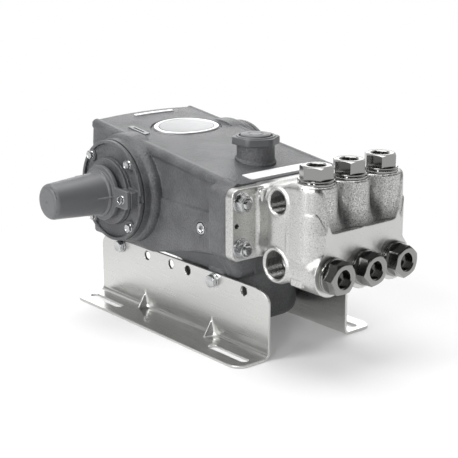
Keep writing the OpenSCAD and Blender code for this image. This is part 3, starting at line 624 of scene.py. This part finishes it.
tree.links.new(shade.outputs[2], surface.inputs["Base Color"])

shape = skin(case_field, (-96, -118, 12), (96, 150, 224), 1.6)
fit(make("crankcase_casting", *shape), enamel, "case_paint", "crankcase")

# ----------------------------------------------------------
# Side plugs
# A zinc plated screw plug with a hexagon socket sits in each side wall of the crankcase, in
# front of the bearing housing, and closes a drilling for the oil.
side_plug = turned([
    (0, -5.0), (6.4, -5.0), (6.4, 0.2), (6.0, 0.7), (5.2, 0.8), (4.4, 0.5),
    (hexagon(6.6) * 0.98 + 0.3, 0.2), (hexagon(6.0), -0.3), (hexagon(6.0), -3.2), (0, -3.6),
])
for side, name in sides:
    plug = stand(side_plug, (side * case_half, plug_y, plug_z), name)
    made = make("side_plug_" + name + "_turned", *plug)
    fit(made, zinc, "plated_steel", "side_plug_" + name)

# ----------------------------------------------------------
# Rear cover
# A flat cast cover with a sealing face closes the crankcase behind. It is painted with the case
# and held by six socket screws.
rear_face = 153.0
rear_screw_x = 53.0
rear_screw_zs = [101.0, 148.0, 195.0]


def rear_cover_field(x, y, z):
    """A plate with round corners, its outer edge rounded, and a shallow panel let into it."""
    plate = round_rect(x, z - 148.0, 61.0, 55.0, 12.0)
    body = within(plate, span(y, 144.0, rear_face), 2.0)
    panel = round_rect(x, z - 148.0, 44.0, 40.0, 8.0)
    return cut(body, within(panel, rear_face - 1.4 - y, 0.8), 0.8)


shape = skin(rear_cover_field, (-65, 141, 88), (65, 156, 208), 1.4)
fit(make("rear_cover_casting", *shape), enamel, "case_paint", "rear_cover")

# Socket screws, zinc plated like the rest, with knurled heads pressed out round a hexagon socket.
knurl = 5.1 + 0.12 * np.cos(48 * angles)
socket_screw = turned([
    (0, 0), (5.0, 0), (knurl, 0.3), (knurl, 3.4), (4.6, 3.9), (3.2, 3.9),
    (hexagon(4.9), 3.6), (hexagon(4.8), 1.9), (0, 1.6),
])
screws = gather([
    stand(socket_screw, (side * rear_screw_x, rear_face, z), "rear")
    for side, name in sides for z in rear_screw_zs
])
fit(make("rear_cover_screw_heads", *screws), zinc, "plated_steel", "rear_cover_screws")

# Oil sight gauge: a moulded clear plastic body with a wide rim, screwed in; the pale reflector
# disc behind its window is not drawn.
glass_plastic, tree, surface, where = new_finish("moulded_clear_plastic", "#b9bdb8", 0.12, 0.0)
surface.inputs["IOR"].default_value = 1.49
surface.inputs["Coat Weight"].default_value = 0.5
grained(tree, surface, where, 8.0, 1.0, (0.08, 0.18))
gauge = turned([
    (0, -6.5), (14.0, -6.5), (14.0, 0), (16.6, 0), (17.0, 0.5), (17.0, 4.6), (16.0, 6.0),
    (11.5, 6.0), (10.4, 5.2), (10.0, 3.2), (6.0, 3.1), (5.6, 3.5), (0, 3.7),
])
fit(make("oil_gauge_moulding", *stand(gauge, (0, rear_face, 139.78), "rear")), glass_plastic,
    "gauge_plastic", "oil_sight_gauge")

drain = turned(
    [
        (0, -6.0), (8.0, -6.0), (8.0, 0), (11.4, 0), (11.78, 0.4), (11.78, 1.6), (11.4, 2.0),
        (9.3, 2.0),
    ]
    + chamfered(19.0, 2.2, 9.0, 8.8) + [(7.6, 9.0), (6.8, 8.6), (0, 8.5)]
)
fit(make("oil_drain_plug_turned", *stand(drain, (0, rear_face, 110.0), "rear")), zinc,
    "plated_steel", "oil_drain_plug")

# ----------------------------------------------------------
# Oil filler
# A round neck with a base ring is cast on the sloping top and painted with it. Its cap is a
# moulded plastic hexagon with a groove and a raised middle.
filler_y = -63.0
neck_top = 209.6


def neck_field(x, y, z):
    """An upright round neck, and a low ring that lies on the slope, joined by a fillet."""
    round_off = np.hypot(x, y - filler_y)
    over = (z - top_at(x, y)) * 0.992
    neck = within(round_off - 20.6, z - neck_top, 1.0)
    ring = within(round_off - 22.4, over - 2.2, 0.9)
    return within(joined(neck, ring, 2.5), -over - 4.0, 0.5)


shape = skin(neck_field, (-26, -89, 180), (26, -37, 213), 1.0)
fit(make("filler_neck_casting", *shape), enamel, "case_paint", "filler_neck")

# Glass filled plastic, moulded: near black grey with a soft gloss and a fine spark eroded grain.
cap_plastic, tree, surface, where = new_finish("moulded_cap_plastic", "#535456", 0.36, 0.0)
grained(tree, surface, where, 0.8, 2.0, (0.32, 0.46), (0.3, 0.1))
wide_hex = np.minimum(hexagon(47.0, 28.0), 26.0)
flat_hex = np.minimum(hexagon(46.2, 28.0), 25.4)
cap = turned([
    (0, 0), (19.0, 0), (flat_hex, 0), (wide_hex, 0.5), (wide_hex, 6.6), (flat_hex, 7.6),
    (flat_hex - 1.2, 8.0), (21.6, 8.0), (21.0, 8.9), (20.2, 9.0), (18.9, 9.0), (18.4, 8.6),
    (18.2, 7.2), (17.4, 7.2), (16.9, 8.8), (16.4, 9.8), (15.0, 10.5), (9.0, 10.6), (8.6, 10.2),
    (7.8, 10.2), (7.4, 10.6), (0, 10.6),
])
fit(make("filler_cap_moulding", *stand(cap, (0, filler_y, neck_top), "up")), cap_plastic,
    "cap_plastic", "oil_filler_cap")

# ----------------------------------------------------------
# Plates on the top
# A bare oval nameplate of anodised aluminium with a raised border, a bare white film strip, a
# narrow light bar at the rear and a small slotted tag, all stuck on the sloping top.
plate_half_x = 46.0
plate_half_y = 30.0
anodised, tree, surface, where = new_finish("anodised_aluminium", "#c9cacb", 0.34, 0.8)
drawn = add(tree, "Mapping", {"Vector": where, "Scale": (0.03, 1.0, 1.0)})
grained(tree, surface, drawn, 0.6, 2.0, (0.28, 0.42))

middle_of_plate = ((middle + plate_x) / 1000, plate_y / 1000, 0.0)
on_plate = add(tree, "VectorMath", {0: where, 1: middle_of_plate}, operation="SUBTRACT")
oval_share = add(
    tree, "VectorMath",
    {0: on_plate, 1: (1000 / plate_half_x, 1000 / plate_half_y, 0.0)}, operation="MULTIPLY",
)
off_middle = add(tree, "VectorMath", {0: oval_share}, operation="LENGTH").outputs["Value"]
# Tones by the oval share: a mid grey face, a painted shade line in the groove inside the border, a
# lighter raised border, and painted shade on the rim where it stands in the case's pocket.
tones_with_painted_shade = add(tree, "ValToRGB", {0: off_middle}, to=surface.inputs["Base Color"]).color_ramp
tones_with_painted_shade.interpolation = "CONSTANT"
tones_with_painted_shade.elements[0].color = linear("#a2a3a4")
tones_with_painted_shade.elements[1].position = 0.775
tones_with_painted_shade.elements[1].color = linear("#4c4d4f")
tones_with_painted_shade.elements.new(0.8).color = linear("#e8e8e8")
tones_with_painted_shade.elements.new(0.925).color = linear("#4c4d4f")

rises = [
    (0.0, -1.6), (0.925, -1.6), (0.925, 0.5), (0.915, 0.75), (0.9, 0.8), (0.835, 0.8), (0.82, 0.7),
    (0.81, 0.3), (0.79, 0.2), (0.78, 0.5), (0.76, 0.55), (0.6, 0.58), (0.4, 0.6), (0.2, 0.6),
    (0.0, 0.6),
]
oval = turned(rises)
points = oval[0] * [plate_half_x, plate_half_y, 1.0] + [plate_x, plate_y, 0.0]
points[:, 2] += top_at(points[:, 0], points[:, 1])
fit(make("nameplate_stamped", points, oval[1]), anodised, "plate_metal", "nameplate")


def finished_copy(node, bevel):
    """A copy of a CAD node as a new piece: its loose triangles merged, and its edges given a
    small rounding."""
    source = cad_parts[node]
    copy = bpy.data.objects.new(node + "_finished", source.data.copy())
    bpy.context.scene.collection.objects.link(copy)
    work = bmesh.new()
    work.from_mesh(copy.data)
    bmesh.ops.remove_doubles(work, verts=work.verts, dist=1e-6)
    work.to_mesh(copy.data)
    work.free()
    copy.data.shade_smooth()
    copy.data.set_sharp_from_angle(angle=math.radians(30))
    rounding = copy.modifiers.new("rounding", "BEVEL")
    rounding.width = bevel / 1000
    rounding.segments = 2
    rounding.limit_method = "ANGLE"
    rounding.angle_limit = math.radians(40)
    rounding.harden_normals = True
    return copy


film, tree, surface, where = new_finish("white_polyester_film", "#ececec", 0.45, 0.0)
surface.inputs["IOR"].default_value = 1.57
grained(tree, surface, where, 4.0, 2.0, bump=(0.2, 0.2))
fit(finished_copy("rear_bar", 0.25), film, "label_film", "rear_bar")


def film_on_top(low_x, high_x, low_y, high_y, thick, corner):
    """A thin sheet that lies on the top: a grid over its rectangle, whose front edge runs back
    in a quarter circle at the left corner, at the top's height and again a thickness higher."""
    x, share = np.meshgrid(np.linspace(low_x, high_x, 93), np.linspace(0, 1, 17), indexing="ij")
    inset = np.clip((low_x + corner - x) / corner, 0, 1)
    y = low_y + corner * (1 - np.sqrt(1 - inset ** 2)) * (1 - share) + share * (high_y - low_y)
    points = np.stack([x, y, top_at(x, y)], axis=-1).reshape(-1, 3)
    index = np.arange(x.size).reshape(x.shape)
    quads = np.stack([index[:-1, :-1], index[1:, :-1], index[1:, 1:], index[:-1, 1:]], axis=-1)
    quads = quads.reshape(-1, 4)
    rim = np.concatenate([index[:, 0], index[-1, 1:], index[-2::-1, -1], index[0, -2:0:-1]])
    beside = np.roll(rim, -1)
    walls = np.stack([rim, beside, beside + x.size, rim + x.size], axis=-1)
    both = np.vstack([points - [0, 0, 0.3], points + [0, 0, thick]])
    return both, [quads[:, ::-1], quads + x.size, walls]


strip = film_on_top(-46.0, 46.0, -110.0, -94.0, 0.8, 5.0)
fit(make("label_strip_film", *strip), film, "label_film", "label_strip")

# The tag is bare rolled aluminium, duller than the plate.
bare_aluminium, tree, surface, where = new_finish("rolled_aluminium", "#a4a5a6", 0.4, 1.0)
grained(tree, surface, where, 1.0, 2.0, (0.34, 0.48))
fit(finished_copy("slotted_tag", 0.25), bare_aluminium, "plate_metal", "slotted_tag")

# ----------------------------------------------------------
# Shims
# A thin black gasket ring lies under each bearing cover. It is punched from sheet and its edge
# just shows as a dark line.
gasket, tree, surface, where = new_finish("punched_gasket_sheet", "#1d1d1d", 0.7, 0.0)
grained(tree, surface, where, 0.7, 3.0, bump=(0.4, 0.1))
ring = turned(
    [(46.0, 0), (57.0, 0), (57.2, 0.2), (57.2, 0.8), (57.0, 1.0), (46.0, 1.0)], closed=True,
)
for side, name in sides:
    made = make("gasket_" + name, *stand(ring, (side * housing_face, shaft_y, shaft_z), name))
    fit(made, gasket, "shim", "shim_ring_" + name)

# ----------------------------------------------------------
# Bearing covers
# Sand cast covers, painted with the case, close the two bearing housings. Each has a raised hub,
# a rim and round screw bosses with shallow pockets between; the left one carries two pads.
screw_at = 35.71
cover_r = 57.0
cover_foot = 94.0
cover_face = 99.0
hub_face = 103.0
pad_out = 108.0


def cover_field(out, y, z, pads):
    """A round plate with a raised hub, less a ring-shaped pocket that stops short of the screw
    bosses, and of the two pads for the shaft protector where the cover has them. A small notch
    for prying the cover off is cut in its edge."""
    dy = y - shaft_y
    dz = z - shaft_z
    round_off = np.hypot(dy, dz)
    body = within(round_off - cover_r, span(out, cover_foot, cover_face), 1.0)
    pocket = np.maximum(np.abs(round_off - 45.6) - 7.4, 95.6 - out)
    boss = np.hypot(np.abs(dy) - screw_at, np.abs(dz) - screw_at) - 7.5
    pocket = cut(pocket, boss, 2.0)
    if pads:
        pocket = cut(pocket, np.abs(dz) - 10.5, 1.0)
    body = cut(body, pocket, 0.5)
    hub = within(round_off - 37.5, span(out, cover_foot + 0.2, hub_face), 1.2)
    body = joined(body, hub, 0.8)
    if pads:
        arm = round_rect(np.abs(dy) - 37.0, dz, 16.0, 9.0, 2.5)
        body = joined(body, within(arm, span(out, cover_foot + 0.2, pad_out), 0.8), 1.0)
        body = np.maximum(body, -np.maximum(round_off - 33.0, hub_face - out))
    notch = np.maximum(round_rect(dy + cover_r, dz, 3.0, 4.2, 0.5), 95.0 - out)
    return np.maximum(body, -notch)


for side, name in sides:
    def this_cover(x, y, z):
        """The cover of this side, with its distances measured outwards."""
        return cover_field(side * x, y, z, side < 0)

    low_x, high_x = sorted((side * 92, side * 111))
    shape = skin(this_cover, (low_x, 10, 87), (high_x, 131, 208), 0.9)
    fit(make("bearing_cover_" + name + "_casting", *shape), enamel,
        "case_paint", "bearing_cover_" + name)

# Cover screws: zinc plated M6 hexagon flange screws, eight in all, four in each cover.
flange_screw = turned(
    [(0, 0), (5.0, 0), (5.1, 0.3), (5.0, 0.7), (4.4, 1.2)]
    + chamfered(8.7, 1.25, 4.2, 3.9, 12.0) + [(3.3, 4.2), (2.8, 3.8), (0, 3.75)]
)
for side, name in sides:
    heads = gather([
        stand(flange_screw, (side * cover_face, shaft_y + dy, shaft_z + dz), name)
        for dy in (-screw_at, screw_at) for dz in (-screw_at, screw_at)
    ])
    fit(make("cover_screw_heads_" + name, *heads), zinc, "plated_steel", "cover_screws_" + name)

# ----------------------------------------------------------
# Drive shaft
# The ground end of the crankshaft, 30 mm thick with a milled keyway. Only the protector's bore
# sees it.
ground, tree, surface, where = new_finish("ground_steel", "#a9aaab", 0.28, 1.0)
ground_lines = add(tree, "Mapping", {"Vector": where, "Scale": (1.0, 0.05, 0.05)})
grained(tree, surface, ground_lines, 0.4, 2.0, (0.22, 0.36))
fit(finished_copy("drive_shaft", 0.4), ground, "shaft_steel", "drive_shaft")

# ----------------------------------------------------------
# Shaft protector
# A moulded plastic cap over the shaft end: a slightly tapering cup with a domed edge, a stepped
# round flange and two tabs, screwed to the bearing cover's pads.
tab_out = 113.0
tab_screw_at = 42.0
cup_end = 182.0


def protector_field(x, y, z):
    """A tapering round cup closed at its tip, with a stepped flange and two tabs; a thin rib runs
    from each tab along the cup; hollow inside."""
    out = -x
    dy = y - shaft_y
    dz = z - shaft_z
    round_off = np.hypot(dy, dz)
    radius = np.interp(out, [tab_out, 175.0], [24.5, 19.9])
    cup = within((round_off - radius) * 0.997, span(out, pad_out, cup_end), 6.5)
    step = within(round_off - 26.2, span(out, pad_out, 117.0), 1.2)
    flange = within(round_off - 31.0, span(out, pad_out, tab_out), 1.0)
    tab = round_rect(dy, dz, 52.0, 10.5, 4.0)
    tab = within(tab, span(out, pad_out, tab_out), 0.7)
    rib = within(np.abs(dz) - 0.8, np.abs(dy) - 29.0 + (out - tab_out) * 0.24, 0.4)
    rib = np.maximum(rib, span(out, 110.0, 131.0))
    body = joined(joined(cup, step, 1.5), flange, 1.2)
    body = joined(body, tab, 1.0)
    body = joined(body, rib, 0.6)
    dimple = np.sqrt((out - 183.6) ** 2 + dy ** 2 + dz ** 2) - 2.4
    body = cut(body, dimple, 0.5)
    nub = np.sqrt((out - 176.0) ** 2 + (dy + 12.0) ** 2 + (dz + 13.4) ** 2) - 1.5
    body = joined(body, nub, 0.6)
    hollow = np.maximum(round_off - radius + 2.5, out - 179.5)
    return np.maximum(body, -hollow)


# Moulded polyethylene: mid grey, waxy and satin, with a faint flow unevenness and no grain.
protector_plastic, tree, surface, where = new_finish("moulded_polyethylene", "#5f6062", 0.4, 0.0)
surface.inputs["IOR"].default_value = 1.51
grained(tree, surface, where, 6.0, 2.0, (0.36, 0.45), (0.25, 0.2))
shape = skin(protector_field, (-185, 16, 112), (-105, 125, 183), 1.0)
fit(make("shaft_protector_moulding", *shape), protector_plastic,
    "protector_plastic", "shaft_protector")
heads = gather([
    stand(flange_screw, (-tab_out, shaft_y + d * tab_screw_at, shaft_z), "left") for d in (-1, 1)
])
fit(make("protector_screw_heads", *heads), zinc, "plated_steel", "protector_screws")

# ----------------------------------------------------------
# Manifold
# The liquid end is one stainless casting, bead blasted, with its front face, ports and plug seats
# machined: three towers over the discharge valves, three lobes round the inlet valves.
plunger_pitch = 45.0
face_y = -226.0
tower_y = -202.5
tower_top = 197.5
tower_top_r = 21.1
lobe_r = 22.6
body_half_x = 68.0
body_foot = 97.5
waist_half_x, waist_half_z = 52.0, 37.0
inlet_z = 109.5
step_z = 151.0
galleries = ((-174.0, 174.5, 17.0), (-171.0, 111.5, 20.0))
weep_x = 79.5
lug_x, lug_y = -66.0, -148.0
outlet_port = (-174.0, 176.5, 10.7)
inlet_port = (-171.0, 111.5, 13.7)
port_face = 70.0
flange_front = -125.0


def manifold_field(x, y, z):
    """A block with round upright corners, whose upper front leans back between three towers, with
    three round lobes below, cross galleries, a waist, a flange and port rings, all joined by
    fillets; then faced off in front and bored."""
    out = np.abs(x)
    tower_r = tower_top_r + 0.022 * (tower_top - z)
    towers = None
    lobes = None
    for k in (-1, 0, 1):
        beside = x - k * plunger_pitch
        tower = np.hypot(beside, y - tower_y) - tower_r
        lobe = np.hypot(beside, z - inlet_z) - lobe_r
        towers = tower if towers is None else joined(towers, tower, 7.0)
        lobes = lobe if lobes is None else joined(lobes, lobe, 4.0)
    towers = within(towers, span(z, 120.0, tower_top), 2.2)
    lobes = within(lobes, span(y, -240.0, -184.0), 6.0)
    outline = round_rect(x, y + 187.5, body_half_x, 38.5, 18.0)
    rise = 2.0 * np.maximum(out - 51.0, 0) + 3.0 * np.maximum(y + 206.0, 0)
    step = step_z + np.minimum(rise, 20.0)
    lower = within(outline, (z - step) * 0.5, 0.7)
    lower = within(lower, body_foot - z, 7.0)
    lean = -(y + 223.4) * 0.878 + (z - step_z) * 0.478
    lean = lean - 1.5 * np.maximum(out - 44.0, 0)
    shoulder = np.interp(y, [-186.0, -164.0, -155.0, -149.0], [197.0, 190.0, 183.0, 176.0])
    shoulder = shoulder - 9.0 * np.clip((62.0 - out) / 14.0, 0, 1)
    upper_front, upper_rear = tower_y - tower_r, -149.0
    upper_middle = (upper_rear + upper_front) / 2
    upper_half = (upper_rear - upper_front) / 2
    upper = round_rect(x, y - upper_middle, body_half_x, upper_half, tower_r)
    upper = within(within(upper, np.maximum(120.0 - z, z - shoulder), 5.0), lean, 5.0)
    upper = joined(upper, towers, 7.0)
    body = joined(lower, upper, 1.2)
    body = joined(body, lobes, 4.0)
    for gallery_y, gallery_z, gallery_r in galleries:
        gallery = np.hypot(y - gallery_y, z - gallery_z) - gallery_r
        body = joined(body, within(gallery, out - 67.2, 3.0), 4.0)
    waist = round_rect(x, z - flange_z, waist_half_x, waist_half_z, 14.0)
    waist = within(waist, span(y, -155.0, -112.0), 2.0)
    body = joined(body, waist, 9.0)
    flange = round_rect(x, z - flange_z, flange_half_x, flange_half_z, flange_corner_r)
    flange = within(flange, span(y, flange_front, -104.0), 1.6)
    body = joined(body, flange, 5.0)
    ridge = np.hypot(out - 67.0 + 1.8 * ((z - 137.0) / 20.0) ** 2, y + 187.0) - 1.7
    body = joined(body, within(ridge, span(z, 112.0, 162.0), 1.0), 2.5)
    lug = np.hypot(x - lug_x, y - lug_y) - (5.3 - 0.35 * np.maximum(184.0 - z, 0))
    body = joined(body, within(lug, span(z, 172.0, 186.0), 0.6), 1.0)
    lug_slot = np.abs(y - lug_y - 0.35 * (x - lug_x)) - 1.1
    body = np.maximum(body, -np.maximum(lug_slot, 184.2 - z))
    foot = round_rect(out - 64.0, y + 201.0, 5.0, 8.0, 1.5)
    body = joined(body, within(foot, span(z, 96.2, 104.0), 0.8), 0.6)
    for port_y, port_z, port_r in (outlet_port, inlet_port):
        round_off = np.hypot(y - port_y, z - port_z)
        ring = within(round_off - port_r - 4.6, out - port_face, 1.0)
        body = joined(body, ring, 2.0)
        bore_rs = [8.0, port_r + 0.7, port_r + 0.7, port_r + 3.2]
        bore = np.interp(out, [42.0, 46.0, 68.2, 71.0], bore_rs)
        body = np.maximum(body, bore - round_off)
    weep = np.hypot(out - weep_x, z - flange_z) - 2.5
    body = np.maximum(body, -np.maximum(weep, y + 114.6))
    body = within(body, y - case_front, 0.5)
    return within(body, face_y - y, 0.5)


# Stainless casting, glass bead blasted: pale and softly metallic, a fine even grain (drawn 1.3 mm
# wide so that it shows) which breaks highlights into sparkle, over the sand's slow unevenness. The
# towers' fronts keep a rougher skin, with painted shade in the valleys and low down at the towers'
# feet, and the face milled on the front is smooth.
blasted, tree, surface, where = new_finish("bead_blasted_stainless", "#b8b8b6", 0.38, 1.0)
beads = grained(tree, surface, where, 1.3, 3.0, (0.26, 0.4), fine=0.6)
waves = add(tree, "TexNoise", {"Vector": where, "Scale": 1 / 0.012, "Detail": 2.0})
place = add(tree, "SeparateXYZ", {0: where}).outputs
# The rough skin lies in front of the towers' axes, above the step and between the outer towers.
in_front = add(tree, "MapRange", {0: place["Y"], 1: -0.203, 2: -0.221, 3: 0.0, 4: 1.0})
above = add(tree, "MapRange", {0: place["Z"], 1: 0.150, 2: 0.152, 3: 0.0, 4: 1.0})
from_middle = add(tree, "Math", {0: place["X"], 1: middle / 1000}, operation="SUBTRACT")
aside = add(tree, "Math", {0: from_middle}, operation="ABSOLUTE")
inward = add(tree, "MapRange", {0: aside, 1: 0.044, 2: 0.062, 3: 1.0, 4: 0.1})
upper_front_skin = add(tree, "Math", {0: in_front, 1: above}, operation="MULTIPLY")
rough_skin = add(tree, "Math", {0: upper_front_skin, 1: inward}, operation="MULTIPLY")
# The milled face is what lies in the plane of the front.
faced = add(tree, "MapRange", {0: place["Y"], 1: -0.2257, 2: -0.2259, 3: 0.0, 4: 1.0})
uneven = add(tree, "Bump", {"Height": waves, "Strength": 0.6, "Distance": 0.0005})
grain = add(tree, "MapRange", {0: rough_skin, 1: 0.0, 2: 1.0, 3: 0.45, 4: 1.0})
grain = add(tree, "Math", {0: grain, 1: faced}, operation="SUBTRACT", use_clamp=True)
add(
    tree, "Bump",
    {"Height": beads, "Strength": grain, "Distance": 0.0005, "Normal": uneven},
    to=surface.inputs["Normal"],
)
low_tone = add(
    tree, "Mix", {0: rough_skin, 6: linear("#b2b2b0"), 7: linear("#828280")},
    data_type="RGBA",
)
high_tone = add(
    tree, "Mix", {0: rough_skin, 6: linear("#dadad8"), 7: linear("#ececea")},
    data_type="RGBA",
)
spread = add(tree, "MapRange", {0: beads, 1: 0.32, 2: 0.68, 3: 0.0, 4: 1.0})
shade = add(
    tree, "Mix", {0: spread, 6: low_tone.outputs[2], 7: high_tone.outputs[2]}, data_type="RGBA",
)
# Painted shade: darker in the valleys, one to each plunger pitch, and at the towers' feet.
turn_a_mm = 2 * math.pi / plunger_pitch
pitch_turn = add(
    tree, "Math",
    {0: place["X"], 1: turn_a_mm * 1000, 2: -turn_a_mm * middle}, operation="MULTIPLY_ADD",
)
across = add(tree, "Math", {0: pitch_turn}, operation="COSINE")
valley_shade = add(tree, "MapRange", {0: across, 1: 0.1, 2: -0.8, 3: 0.0, 4: 0.75})
foot_shade = add(tree, "MapRange", {0: place["Z"], 1: 0.172, 2: 0.153, 3: 0.0, 4: 0.65})
painted_shade = add(tree, "Math", {0: valley_shade, 1: foot_shade}, operation="MAXIMUM")
painted_shade = add(tree, "Math", {0: painted_shade, 1: rough_skin}, operation="MULTIPLY")
# The painted shade pulls the colour towards a dark grey.
shade = add(
    tree, "Mix",
    {0: painted_shade, 6: shade.outputs[2], 7: linear("#4a4a49")}, data_type="RGBA",
)
shade = add(
    tree, "Mix", {0: faced, 6: shade.outputs[2], 7: linear("#cececc")}, data_type="RGBA",
)
tree.links.new(shade.outputs[2], surface.inputs["Base Color"])

shape = skin(manifold_field, (-90, -229, 82), (90, -111, 201), 1.25)
fit(make("manifold_casting", *shape), blasted, "cast_stainless", "manifold")

# Threads of the four ports: a helical ridge of the real pitch, cut in the bores.
pipe_thread_pitch = 1.814


def threaded_sleeve(radius, low, high, pitch, depth, wall):
    """A sleeve with an inside thread. Along the bore the radius rises and falls by the depth once
    a pitch, later by the angle's share of a turn; the outside is plain."""
    heights = np.arange(high, low, -pitch / 6)
    phase = np.mod(heights[:, None] / pitch - angles / (2 * np.pi), 1.0)
    bore = radius - depth * (0.5 + 0.5 * np.cos(2 * np.pi * phase))
    rings = [(row, float(at)) for row, at in zip(bore, heights)]
    return turned(rings + [(radius + wall, low), (radius + wall, high)], closed=True)


sleeves = []
for port_y, port_z, port_r in (outlet_port, inlet_port):
    sleeve = threaded_sleeve(port_r + 0.5, -22.0, -1.8, pipe_thread_pitch, 1.0, 0.5)
    for side, name in sides:
        sleeves.append(stand(sleeve, (side * port_face, port_y, port_z), name))

# Cut threads hold cutting oil, and their colour is darkened further as painted shade in the bores:
# a darker, duller bright steel.
threads_painted_dark, tree, surface, where = new_finish("tapped_stainless", "#4c4c4b", 0.3, 1.0)
grained(tree, surface, where, 2.0, 2.0, (0.22, 0.38))
fit(make("port_threads", *gather(sleeves)), threads_painted_dark, "turned_stainless", "manifold")

# ----------------------------------------------------------
# Manifold studs
# Four M10 studs clamp the manifold to the crankcase, each with a wide washer and a plated
# hexagon nut; the threads stand a little out of the nuts.
stud_places = [(s * 74.0, z) for s in (-1, 1) for z in (119.5, 167.5)]
heights = np.arange(9.0, 22.4, 0.25)
phase = np.mod(heights[:, None] / 1.5 - angles / (2 * np.pi), 1.0)
thread = 4.9 - 0.75 * (0.5 + 0.5 * np.cos(2 * np.pi * phase))
rings = [(row, float(at)) for row, at in zip(thread, heights)]
stud = turned([(0, 9.0)] + rings + [(3.9, 23.0), (0, 23.1)])
studs = gather([stand(stud, (x, case_front, z), "front") for x, z in stud_places])
fit(make("manifold_stud_ends", *studs), zinc, "plated_steel", "manifold_studs")
washer = turned([
    (5.4, 0), (10.8, 0), (11.0, 0.25), (11.0, 1.3), (10.8, 1.6), (5.5, 1.6), (5.4, 1.4),
], closed=True)
washers = gather([stand(washer, (x, flange_front, z), "front") for x, z in stud_places])
fit(make("manifold_washers_punched", *washers), zinc, "plated_steel", "manifold_washers")
nuts = []
for (x, z), turn_of_nut in zip(stud_places, (8.0, -14.0, 20.0, 3.0)):
    nut = turned(
        [(5.1, 0), (7.6, 0), (7.6, 0.3)] + chamfered(16.0, 0.35, 8.0, 7.5, turn_of_nut)
        + [(6.0, 8.0), (5.1, 7.2)], closed=True,
    )
    nuts.append(stand(nut, (x, flange_front - 1.6, z), "front"))
fit(make("manifold_nuts_formed", *gather(nuts)), zinc, "plated_steel", "manifold_nuts")

# ----------------------------------------------------------
# Valve plugs
# Six turned stainless plugs, three over the discharge valves and three over the inlet valves: a
# grooved round collar, a milled hexagon with turned corners, and a drilled recess in the end.

# Stainless bar, turned and milled: bright and nearly mirror smooth, with a faint cloudiness from
# the cutter about 1.5 mm wide.
machined, tree, surface, where = new_finish("turned_stainless", "#969694", 0.14, 1.0)
grained(tree, surface, where, 1.5, 3.0, (0.1, 0.22), (0.12, 0.06))


def valve_plug(turn_of_hexagon):
    """Rings of a plug from its seat up: collar with a groove, hexagon, chamfer, mouth of the
    recess, its wall and its cone-shaped bottom."""
    rings = [
        (0, -3.0), (14.0, -3.0), (14.2, 0), (18.1, 0), (18.5, 0.4), (18.5, 1.9), (18.2, 2.2),
        (17.3, 2.5), (17.2, 3.0), (17.4, 3.4), (18.2, 3.7), (18.5, 4.0), (18.5, 4.8), (17.9, 5.5),
        (17.2, 5.6),
    ]
    rings += chamfered(30.0, 5.6, 18.5, 14.2, turn_of_hexagon)
    rings += [(10.4, 18.5), (9.9, 18.3), (9.0, 17.2), (9.0, 8.6), (8.4, 7.6), (0, 6.2)]
    return turned(rings)


for kind, y, z, way, turns in (
    ("discharge_plug_", tower_y, tower_top, "up", (0.0, -10.0, -10.0)),
    ("inlet_plug_", face_y, inlet_z, "front", (0.0, 12.0, 20.0)),
):
    for k, turn_of_plug in enumerate(turns):
        plug = stand(valve_plug(turn_of_plug), ((k - 1) * plunger_pitch, y, z), way)
        name = kind + str(k + 1)
        fit(make(name + "_turned", *plug), machined, "turned_stainless", name)
